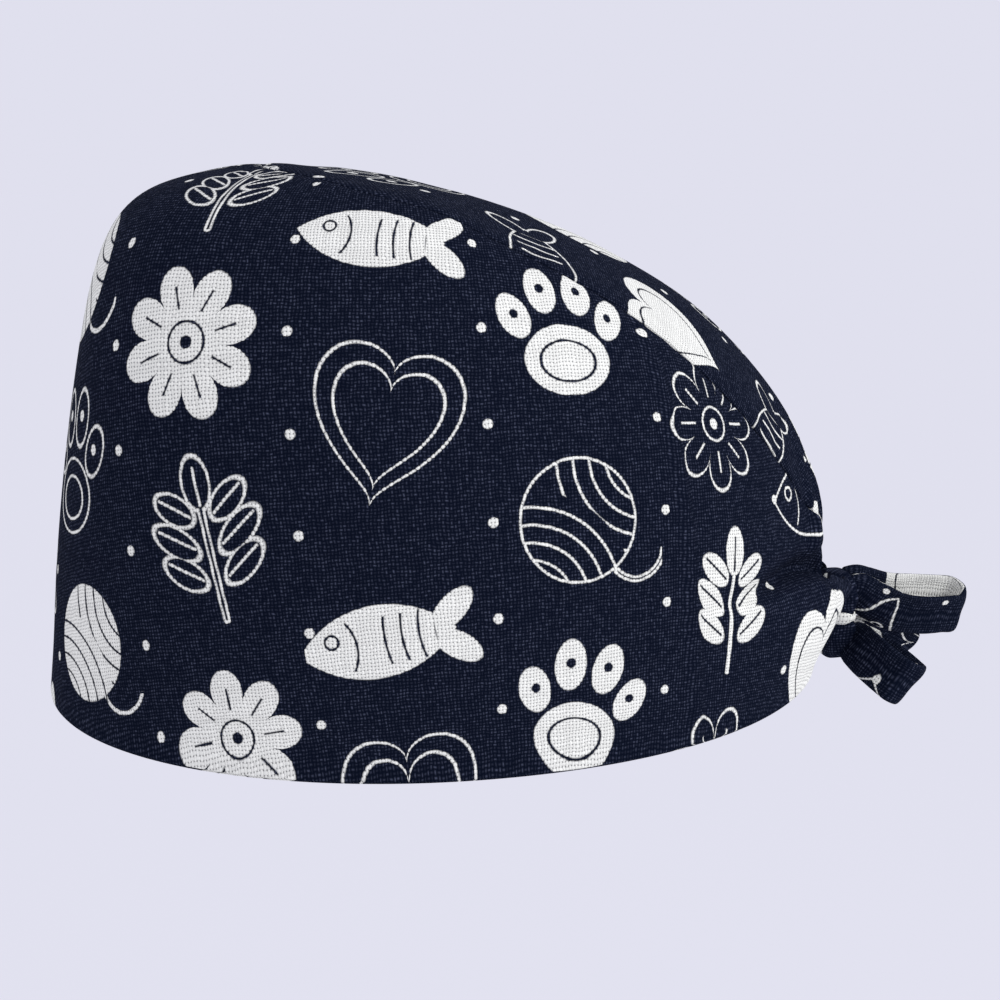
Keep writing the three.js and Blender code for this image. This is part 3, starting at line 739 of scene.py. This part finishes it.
bent_path = smooth_path([(0, 0, 0), (1, 0, 0), (1, 1, 0)], 50)
print("a path round one corner is", round(float(arc_lengths(bent_path)[-1]), 2), "long")

# %% [markdown]
# The sweep carries a flat section with rounded edges along that path. Creases wander along it and
# across it, and the whole strap bends a little across its width, so no two stretches are alike.
# Its own coordinates run round it and along it, for the print.

# %% Straps swept along a path
SIDE_POWER = 0.62          # below one, a circle grows squarer: across the strap, and through it
FACE_POWER = 0.72


def signed_power(value, power):
    return np.sign(value) * np.abs(value) ** power


def swept_strap(name, stations, wrinkle, seed, offset):
    """stations: place, across, width. Returns a closed soft strap through them, and its path."""
    place = smooth_path([s[0] for s in stations], ALONG)
    share = np.linspace(0, 1, ALONG)
    lengths = arc_lengths(np.array([s[0] for s in stations], float))
    marks = lengths / lengths[-1]
    across = np.stack([np.interp(share, marks, [unit(np.array(s[1], float))[k] for s in stations])
                       for k in range(3)], -1)
    width = np.interp(share, marks, [s[2] for s in stations])
    tangent = unit(np.gradient(place, axis=0))
    across = unit(across - tangent * np.sum(across * tangent, -1, keepdims=True))
    thick = np.cross(tangent, across)
    reach = arc_lengths(place)
    closing = np.minimum(reach, reach[-1] - reach)
    shrink = np.sqrt(1 - (1 - np.clip(closing / ROUNDED_END, 0, 1)) ** 2)
    rings = []
    for angle in np.linspace(0, 2 * np.pi, AROUND + 1):
        wide = signed_power(np.cos(angle), SIDE_POWER)
        deep = signed_power(np.sin(angle), FACE_POWER)
        fold = np.sin(reach / (5.5 * MM) + 2.2 * np.cos(angle) + seed) + 0.6 * np.sin(
            reach / (3.1 * MM) - 3.1 * np.cos(angle) + 2 * seed)
        crease = 1 + wrinkle * fold
        side = across * (width / 2 * wide * (0.15 + 0.85 * shrink))[:, None]
        face = thick * (TIE_THICK / 2 * deep * shrink * crease)[:, None]
        bend = thick * (LIMP * np.sin(wide * 2.6 + reach / (9 * MM) + seed) * shrink)[:, None]
        rings.append(place + side + face + bend)
    places = np.array(rings)
    places[:, 0] = places[:, 0].mean(axis=0)
    places[:, -1] = places[:, -1].mean(axis=0)
    round_it = np.linspace(0, 2 * (width.max() + TIE_THICK), AROUND + 1)
    flat = np.stack(np.broadcast_arrays(round_it[:, None], reach[None, :]), -1) + np.array(offset)
    bm = bent_grid(places, flat)
    bmesh.ops.remove_doubles(bm, verts=bm.verts, dist=1e-6)
    bmesh.ops.recalc_face_normals(bm, faces=bm.faces)
    return make_piece(name, bm), place


print("each strap has", ALONG, "rings of", AROUND, "vertices")

# %% [markdown]
# A bow's loop is one strap that leaves the knot, turns back on itself and returns. A bent tube
# would be too even: a cloth strap stands on edge and leans a little, so each station along it has
# its own place, lean and width. One half is written down, and the other half mirrors it. A row
# says how far along the loop it stands, how far aside, how far it sags, its width and its lean.

# %% The bow's loops
LOOP_HALF = [
    (0.00, 0.070, 0.000, 0.88, 2), (0.14, 0.100, 0.080, 0.96, 6), (0.36, 0.135, 0.190, 1.00, 10),
    (0.62, 0.140, 0.240, 1.00, 10), (0.85, 0.110, 0.262, 1.00, 7), (0.95, 0.088, 0.270, 1.00, 3),
]


def bow_loop(name, length, start, sag, rise, towards, up, seed, offset):
    start = KNOT_MIDDLE + np.array([start[0] * KNOT_SIZE[0], KNOT_SIZE[1] / 2, start[1] * KNOT_SIZE[2]])
    size = LOOP_LENGTH * length
    out = unit(np.array(towards, float))
    high = unit(np.array(up) - out * np.dot(up, out))
    side = np.cross(out, high)

    def station(row, sign):
        ahead, aside, drop, wide, lean = row
        place = start + out * ahead * size + side * sign * aside * LOOP_LENGTH
        place = place - high * (sign * rise * size * ahead + sag * drop * size)
        turned = high * math.cos(math.radians(lean)) + side * math.sin(math.radians(lean)) * sign
        return place, turned, wide * TIE_WIDTH

    fold = start + out * size - high * sag * LOOP_HALF[-1][2] * size
    near = [station(row, 1) for row in LOOP_HALF]
    far = [station(row, -1) for row in reversed(LOOP_HALF)]
    root = [(near[0][0] - out * 3 * MM, near[0][1], near[0][2] * 0.8)]
    tail = [(far[-1][0] - out * 3 * MM, far[-1][1], far[-1][2] * 0.8)]
    return swept_strap(name, root + near + [(fold, high, TIE_WIDTH)] + far + tail, 0.16, seed, offset)


loop_upper, loop_upper_line = bow_loop(
    "bow_loop_upper_strap", 1, (-0.033, 0.28), 1, 0.02, (-0.02, 1, 0.02), (0.25, 0, 0.97), 1,
    (0.0805, -0.030))
loop_lower, loop_lower_line = bow_loop(
    "bow_loop_lower_strap", 0.6, (0.27, -0.304), 0, 0.01, (0.90, 0.31, -0.31), (0.1, 0.54, 0.84), 2,
    (0.0750, 0.045))


# %% [markdown]
# The two short ends of the straps hang below the loops. They are swept in the same way, each along
# a few points that leave the knot and sink outwards.

# %% The two short ends
def tie_end(name, away, up, path, seed, offset):
    line = [KNOT_MIDDLE + np.array(point) * LOOP_LENGTH for point in path]
    inside = line[0] - np.array(away) * 4 * MM
    stations = [(inside, up, TIE_WIDTH * 0.5)]
    stations += [(point, up, TIE_WIDTH * (0.96 if i else 0.6)) for i, point in enumerate(line)]
    return swept_strap(name, stations, 0.12, seed, offset)


end_left, end_left_line = tie_end(
    "tie_end_left_strap", (0, 1, 0), (0.35, 0.35, 0.87),
    [(-0.13, 0.18, -0.18), (-0.16, 0.35, -0.25), (-0.235, 0.59, -0.35), (-0.35, 0.85, -0.5)],
    3, (0.31, 0.13))
end_right, end_right_line = tie_end(
    "tie_end_right_strap", (-1, 0, 0), (0.25, 0.45, 0.86),
    [(-0.235, 0.065, -0.045), (-0.41, 0.16, -0.13), (-0.62, 0.29, -0.265), (-0.82, 0.43, -0.44)],
    4, (0.22, 0.31))


# %% [markdown]
# The knot is the straps crossing each other: one swells above and one below. A true knot would
# need two cloths that slide over each other, and all of it lies behind the loops. A sphere is
# pressed into a rounded block with a waist instead, and slanting creases are worked into it.

# %% The knot
WAIST = 0.20               # how far the knot is drawn in at its middle
KNOT_PRINT = (0.083, 0.2)  # where on the bolt the knot's cloth lies

bm = bmesh.new()
bmesh.ops.create_uvsphere(bm, u_segments=96, v_segments=72, radius=1)
layer = bm.loops.layers.uv.new("cloth")
for vert in bm.verts:
    angle = math.atan2(vert.co.y, vert.co.x)
    tilt = math.acos(max(-1, min(1, vert.co.z)))
    height = signed_power(math.cos(tilt), 0.62)
    level = math.sin(tilt) ** 0.62 * (1 - WAIST * math.exp(-((height / 0.22) ** 2)))
    slant = vert.co.z * 2.2 + 0.5 * math.sin(angle)
    crease = 1 + 0.03 * math.sin(slant * 7.5 + 0.6) * math.sin(tilt) + 0.02 * math.sin(3 * angle + slant)
    vert.co = Vector(KNOT_MIDDLE) + Vector((
        KNOT_SIZE[0] / 2 * level * signed_power(math.cos(angle), 0.6) * crease,
        KNOT_SIZE[1] / 2 * level * signed_power(math.sin(angle), 0.6) * crease,
        KNOT_SIZE[2] / 2 * height))
for face in bm.faces:
    for loop in face.loops:
        away = loop.vert.co - Vector(KNOT_MIDDLE)
        loop[layer].uv = (KNOT_PRINT[0] - away.x - away.y * 0.8, KNOT_PRINT[1] + away.z)
bow_knot = make_piece("bow_knot_lobes", bm)

# %% [markdown]
# A narrow turn of the same strap holds the knot in at its waist. Its path is an oval fitted to
# the knot's box, and the sweep that made the loops makes this turn too. It stays open towards the
# loops, which hide its two ends.

# %% The turn round the knot
WRAP_WIDTH = 4.6 * MM
wrap_stations = []
for angle in np.radians(np.arange(-165, 166, 15)):
    round_it = np.array([math.sin(angle), -math.cos(angle), 0]) * KNOT_SIZE / 2 * (0.97 - WAIST)
    slope = 0.5 * MM * math.sin(angle + 0.4)
    wrap_stations.append((KNOT_MIDDLE + round_it + np.array([0, 0, slope]), (0, 0, 1), WRAP_WIDTH))
knot_wrap, _ = swept_strap("bow_knot_wrap", wrap_stations, 0.1, 5, (0.100, -0.002))

# %% [markdown]
# The print and the weave are both drawn by arithmetic on the cloth's own coordinates, so they
# follow every fold. Writing that arithmetic as Maths nodes by hand would be endless; a small
# class lets a line such as a + b * 2 add the nodes itself.

# %% Arithmetic with nodes
class Amount:
    """One number in a material's node tree."""

    def __init__(self, tree, socket):
        self.tree = tree
        self.socket = socket

    def maths(self, operation, *others, clamp=False):
        node = self.tree.nodes.new("ShaderNodeMath")
        node.operation = operation
        node.use_clamp = clamp
        for slot, value in zip(node.inputs, (self, *others)):
            if isinstance(value, Amount):
                self.tree.links.new(value.socket, slot)
            else:
                slot.default_value = value
        return Amount(self.tree, node.outputs[0])

    def __add__(self, other):
        return self.maths("ADD", other)

    def __sub__(self, other):
        return self.maths("SUBTRACT", other)

    def __rsub__(self, other):
        return (self * -1) + other

    def __mul__(self, other):
        return self.maths("MULTIPLY", other)

    def __truediv__(self, other):
        return self.maths("DIVIDE", other)

    def least(self, other):
        return self.maths("MINIMUM", other)

    def most(self, other):
        return self.maths("MAXIMUM", other)

    def size(self):
        return self.maths("ABSOLUTE")

    def whole(self):
        return self.maths("FLOOR")

    def part(self):
        return self.maths("FRACT")

    def sine(self):
        return self.maths("SINE")

    def cosine(self):
        return self.maths("COSINE")

    def root(self):
        return self.maths("SQRT")

    def over(self, edge):
        return self.maths("GREATER_THAN", edge)

    def within(self, low, high):
        return ((self - low) / (high - low)).maths("ADD", 0, clamp=True)

    def toward(self, other, share):
        return self + (other - self) * share


def hypotenuse(x, y):
    return (x * x + y * y).root()


# %% [markdown]
# A motif is a shape given by how far a point lies outside it, in millimetres, which is negative
# within. The smaller of two such distances joins two shapes, the larger keeps what they share.
# Ovals, rings and short strokes are enough to draw every motif.

# %% Simple shapes as distances
def moved(x, y, at, turn=0.0):
    x, y = x - at[0], y - at[1]
    if turn == 0:
        return x, y
    c, s = math.cos(math.radians(turn)), math.sin(math.radians(turn))
    return x * c + y * s, y * c - x * s


def oval(x, y, at, half, turn=0.0):
    x, y = moved(x, y, at, turn)
    return (hypotenuse(x / half[0], y / half[1]) - 1) * min(half)


def disc(x, y, at, radius):
    x, y = moved(x, y, at)
    return hypotenuse(x, y) - radius


def ring(x, y, at, radius, stroke):
    return disc(x, y, at, radius).size() - stroke / 2


def stroke_to(x, y, start, end, stroke):
    along_x, along_y = end[0] - start[0], end[1] - start[1]
    x, y = moved(x, y, start)
    reach = ((x * along_x + y * along_y) / (along_x**2 + along_y**2)).maths("ADD", 0, clamp=True)
    return hypotenuse(x - reach * along_x, y - reach * along_y) - stroke / 2


# %% [markdown]
# The print mixes six everyday motifs: a paw print, a fish, a daisy, a ball of yarn, a heart and a
# sprig of leaves. Each gives its outer shape and the thin lines drawn within it.

# %% The motifs
FINE = 0.65                # millimetres; the thin lines of the print


def paw(x, y):
    sides = x.size()
    shape = oval(x, y, (0, -6.5), (11.5, 9.0))
    shape = shape.least(oval(sides, y, (13.6, 4.6), (4.1, 6.1), -24))
    shape = shape.least(oval(sides, y, (5.3, 12.0), (4.3, 6.6), -7))
    lines = (oval(x, y, (0, -6.9), (7.4, 5.2)).size() - FINE / 2).least(disc(sides, y, (5.3, 12.5), 1.3))
    return shape, lines.least(disc(sides, y, (13.4, 5.0), 1.2))


def fish(x, y):
    sides = y.size()
    body = disc(x, sides, (-3.5, -16.5), 25.5)
    tail = oval(x, sides, (15.8, 4.6), (6.6, 3.3), 38)
    shape = body.least(tail)
    eye = ring(x, y, (-14.5, 2.0), 1.7, FINE)
    gill = ring(x, y, (-19.5, 0), 11.0, FINE).most((x + 7) * -1 - 3.5)
    scales = (((hypotenuse(x - 30, y) / 4.2).part() - 0.5).size() * 4.2 - FINE / 2).most((x + 4) * -1)
    lines = eye.least(gill.most(sides - 6.2)).least(scales.most(sides - 6.0).most(x - 11))
    return shape, lines


def daisy(x, y):
    angle = y.maths("ARCTAN2", x)
    reach = hypotenuse(x, y)
    shape = (reach - ((angle * 4).cosine().size().root() * 8.5 + 9.2)) * 0.7
    veins = ((angle * 4).sine().size() * reach * 0.25 - FINE * 0.45).most(7.5 - reach).most(reach - 13)
    heart_of_it = ring(x, y, (0, 0), 4.6, FINE).least(disc(x, y, (0, 0), 1.5))
    return shape, heart_of_it.least(veins)


def yarn(x, y):
    ball = disc(x, y, (-1, 1.5), 15.2)
    end = ring(x, y, (12.5, -9.0), 8.0, 1.0).most(y + 11.5)
    upper = (((disc(x, y, (-18, -15), 0) / 4.3).part() - 0.5).size() * 4.3 - FINE / 2)
    upper = upper.most(disc(x, y, (-18, -15), 25.5)).most(10.5 - disc(x, y, (-18, -15), 0))
    lower = (((disc(x, y, (20, 12), 0) / 4.3).part() - 0.5).size() * 4.3 - FINE / 2)
    lower = lower.most(disc(x, y, (20, 12), 24)).most(27.5 - disc(x, y, (-18, -15), 0))
    return ball.least(end), upper.least(lower)


def heart(x, y):
    x = x / 17.5
    lifted = (y + 2.5) / 15.5 - x.size().root() * 0.72
    reach = hypotenuse(x, lifted)
    shape = (reach - 1) * 16.5
    return shape, (reach - 0.74).size() * 16.5 - FINE / 2


def sprig(x, y):
    sides = x.size()
    leaves = oval(x, y, (0, 13.5), (3.6, 6.4))
    for height, reach in ((6.2, 7.2), (-1.2, 8.6), (-8.8, 8.0)):
        leaves = leaves.least(oval(sides, y, (reach, height + 2.4), (3.3, reach * 0.82), -52))
    shape = leaves.least(stroke_to(x, y, (0, 12), (0, -19), 1.3))
    veins = stroke_to(x, y, (0, 8.5), (0, 17), FINE)
    for height, reach in ((6.2, 7.2), (-1.2, 8.6), (-8.8, 8.0)):
        tip = (reach * 1.5, height + 2.4 + reach * 0.4)
        veins = veins.least(stroke_to(sides, y, (reach * 0.45, height), tip, FINE))
    return shape, veins


MOTIFS = (paw, fish, daisy, yarn, heart, sprig)
print(len(MOTIFS), "motifs")

# %% [markdown]
# The bolt is printed in columns of cells, every other column half a cell lower. In each cell a
# small hash tilts and shifts the motif, and a chequered rule makes it either solid white with
# navy lines or a thin white outline. Little dots fill the corners between.

# %% The layout of the print
CELL = (41.5, 42.0)        # millimetres
MOTIF_SCALE = 0.90
TILT = 0.30                # radians, the most that a motif leans


def printed_distance(tree, u, v):
    """How far a point of the cloth, in millimetres, lies outside the white of the print."""
    column = (u / CELL[0]).whole()
    odd = (column * 0.5).part() * 2
    shifted = v / CELL[1] + odd * 0.5
    row = shifted.whole()
    place = tree.nodes.new("ShaderNodeCombineXYZ")
    tree.links.new(column.socket, place.inputs[0])
    tree.links.new(row.socket, place.inputs[1])
    noise = tree.nodes.new("ShaderNodeTexWhiteNoise")
    noise.noise_dimensions = "2D"
    tree.links.new(place.outputs[0], noise.inputs["Vector"])
    split = tree.nodes.new("ShaderNodeSeparateColor")
    tree.links.new(noise.outputs["Color"], split.inputs[0])
    lean, aside, above = (Amount(tree, socket) - 0.5 for socket in split.outputs)
    x = ((u / CELL[0]).part() * CELL[0] - CELL[0] / 2 + aside * 4) / MOTIF_SCALE
    y = (shifted.part() * CELL[1] - CELL[1] / 2 + above * 4) / MOTIF_SCALE
    s, c = (lean * 2 * TILT).sine(), (lean * 2 * TILT).cosine()
    x, y = x * c - y * s, x * s + y * c
    choice = ((column * 2 + row * 3 + 600) / len(MOTIFS)).part() * len(MOTIFS)
    shape, lines = MOTIFS[0](x, y)
    for i, motif in enumerate(MOTIFS[1:], 1):
        chosen = choice.over(i - 0.5)
        next_shape, next_lines = motif(x, y)
        shape = shape.toward(next_shape, chosen)
        lines = lines.toward(next_lines, chosen)
    solid = shape.most(lines * -1)
    outline = (shape.size() - 0.31).least(lines.most(shape))
    plain = ((column + row + 400) * 0.5).part().over(0.25)
    art = solid.toward(outline, plain) * MOTIF_SCALE
    corner_x = ((u / CELL[0] + 0.5).part() - 0.5) * CELL[0]
    corner_y = (((v / CELL[1] * 2) + 0.5).part() - 0.5) * CELL[1] / 2
    dots = disc(corner_x, corner_y, (1.5, 0.8), 1.1)
    return art.least(dots)


# %% [markdown]
# The cloth is a plain weave of rather thick linen-like threads, a little under a millimetre
# apart. Each thread rises over one neighbour and dives under the next. The gaps between threads
# stay dark even where the print is white, partly because the ink thins there and partly as painted
# shade, which is what breaks up its edges.

# %% The weave
PITCH = 0.8                # millimetres from thread to thread


def woven(tree, u, v):
    """Height of the threads from 0 to 1, their unevenness, and the coordinates snapped to them."""
    wander = tree.nodes.new("ShaderNodeTexNoise")
    wander.noise_dimensions = "2D"
    wander.inputs["Scale"].default_value = 0.21
    wander.inputs["Detail"].default_value = 2
    flat = tree.nodes.new("ShaderNodeCombineXYZ")
    tree.links.new(u.socket, flat.inputs[0])
    tree.links.new(v.socket, flat.inputs[1])
    tree.links.new(flat.outputs[0], wander.inputs["Vector"])
    slack = (Amount(tree, wander.outputs["Fac"]) - 0.5) * 1.1
    across = u / PITCH + slack
    rising = v / PITCH - slack
    over = (across * math.pi).sine() * (rising * math.pi).sine()
    warp = (across * math.pi).sine().size() * (over * 0.5 + 0.5)
    weft = (rising * math.pi).sine().size() * (0.5 - over * 0.5)
    height = warp.most(weft)
    uneven = []
    for line, seed in ((across, 3.7), (rising, 9.1)):
        hue = tree.nodes.new("ShaderNodeTexWhiteNoise")
        hue.noise_dimensions = "1D"
        tree.links.new((line.whole() + seed).socket, hue.inputs["W"])
        uneven.append(Amount(tree, hue.outputs["Value"]))
    crossing = tree.nodes.new("ShaderNodeCombineXYZ")
    tree.links.new(across.whole().socket, crossing.inputs[0])
    tree.links.new(rising.whole().socket, crossing.inputs[1])
    spot = tree.nodes.new("ShaderNodeTexWhiteNoise")
    spot.noise_dimensions = "2D"
    tree.links.new(crossing.outputs[0], spot.inputs["Vector"])
    spot = Amount(tree, spot.outputs["Value"])
    return height, uneven[0].toward(uneven[1], over.over(0)), spot, across, rising


# %% [markdown]
# The finish is a matt navy cotton and linen cloth, so rough that it hardly shines at all. The
# print is ink lying on the threads: it is fullest on top of them and thins in the gaps, where the
# navy shows through; that darkening is partly painted shade between the threads. On the reverse
# only a ghost of it shows. Each thread has its own tone, a few crossings are paler, and the tops
# of the navy threads carry a painted highlight.

# %% The cloth's finish
NAVY = (0.0030, 0.0050, 0.0130)
# pale specks of the navy, used both for paler crossings and for the painted highlight on thread tops
PALE_SPECK_AND_HIGHLIGHT = (0.070, 0.081, 0.124)
INK = (0.94, 0.945, 0.870)


def colour_mix(tree, low, high, share):
    node = tree.nodes.new("ShaderNodeMix")
    node.data_type = "RGBA"
    for slot, value in ((node.inputs[6], low), (node.inputs[7], high)):
        if isinstance(value, tuple):
            slot.default_value = (*value, 1)
        else:
            tree.links.new(value, slot)
    tree.links.new(share.socket, node.inputs[0])
    return node.outputs[2]


def cotton(name, ink_strength):
    material = bpy.data.materials.new(name)
    material.use_nodes = True
    tree = material.node_tree
    shader = tree.nodes["Principled BSDF"]
    shader.inputs["Roughness"].default_value = 0.88
    shader.inputs["Specular IOR Level"].default_value = 0.01
    cloth_uv = tree.nodes.new("ShaderNodeUVMap")
    cloth_uv.uv_map = "cloth"
    split = tree.nodes.new("ShaderNodeSeparateXYZ")
    tree.links.new(cloth_uv.outputs[0], split.inputs[0])
    u = Amount(tree, split.outputs[0]) * 1000
    v = Amount(tree, split.outputs[1]) * 1000
    height, uneven, spot, across, rising = woven(tree, u, v)
    inked_u = u - ((across.part() - 0.5) * PITCH * 0.22)
    inked_v = v - ((rising.part() - 0.5) * PITCH * 0.22)
    away = printed_distance(tree, inked_u, inked_v)
    ink = (away * -4 + 0.5).maths("ADD", 0, clamp=True)
    # where the threads dip, the white ink gives way to navy: partly thin ink, partly painted shade
    # between the threads
    lit = height.within(0.10, 0.42)
    ink = ink * lit.toward(1, 0.22) * ink_strength
    # the navy's pale specks: a painted highlight on every thread top, plus random paler crossings and
    # each thread's own tone
    speck_and_highlight = height * height * height * (spot * spot * 0.75 + uneven * 0.15 + 0.12)
    ground = colour_mix(tree, NAVY, PALE_SPECK_AND_HIGHLIGHT, speck_and_highlight.maths("ADD", 0, clamp=True))
    white = colour_mix(tree, tuple(0.86 * part for part in INK), INK, uneven)
    tree.links.new(colour_mix(tree, ground, white, ink), shader.inputs["Base Color"])
    bump = tree.nodes.new("ShaderNodeBump")
    bump.inputs["Strength"].default_value = 0.7
    bump.inputs["Distance"].default_value = 0.00022
    tree.links.new((height + uneven * 0.25).socket, bump.inputs["Height"])
    tree.links.new(bump.outputs[0], shader.inputs["Normal"])
    print(name, len(tree.nodes), "nodes")
    return material


printed_cotton = cotton("printed_cotton", 1.0)
cotton_reverse = cotton("cotton_reverse", 0.10)

# %% [markdown]
# The two panels are single layers, so each gets its thickness inwards, with the reverse of the
# cloth on its inner face. The straps are closed shapes and only show the printed face.

# %% Giving the cloth its thickness
CLOTH = 0.45 * MM          # one layer of the cloth

for piece in (side_band, crown_panel):
    piece.data.materials.append(printed_cotton)
    piece.data.materials.append(cotton_reverse)
    layer = piece.modifiers.new("one_layer", "SOLIDIFY")
    layer.thickness = CLOTH
    layer.offset = -1
    layer.material_offset = 1
    layer.material_offset_rim = 1
for piece in (bow_knot, knot_wrap, loop_upper, loop_lower, end_left, end_right):
    piece.data.materials.append(printed_cotton)

# %% [markdown]
# The two panels are measured as they lie flat, with their hem and seam allowances. The crown
# closes on itself, so its first column is added again at the end.

# %% Sizes of the cut sheets
def cut_size(flat):
    """Width, length and area in metres of a sheet that lies flat."""
    width, length = np.ptp(flat, axis=(0, 1))
    area = grid_area(flat)
    print("cut from", round(width, 3), "by", round(length, 3), "m, area", round(area, 4), "m2")
    return (float(width), float(length)), float(area)


band_cut, band_area = cut_size(band_flat)
crown_cut, crown_area = cut_size(np.concatenate([crown_flat, crown_flat[:1]]))

# %% [markdown]
# Last, each piece hides the solid that it stands for. The worn cap doesn't move by itself, so
# every piece rides on the one body.

# %% Riding on one body
PIECES = (
    ("side_band", side_band, "cap_cloth"), ("crown_panel", crown_panel, "cap_cloth"),
    ("bow_knot", bow_knot, "tie_cloth"), ("bow_knot", knot_wrap, "tie_cloth"),
    ("bow_loop_upper", loop_upper, "tie_cloth"), ("bow_loop_lower", loop_lower, "tie_cloth"),
    ("tie_end_left", end_left, "tie_cloth"), ("tie_end_right", end_right, "tie_cloth"),
)
for node, piece, finish in PIECES:
    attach(piece, "root")
    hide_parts(node)

visual_low, visual_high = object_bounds()
past = list(cad_low - visual_low) + list(visual_high - cad_high)
print("past the solids' box:", [round(side / MM, 1) for side in past], "mm")
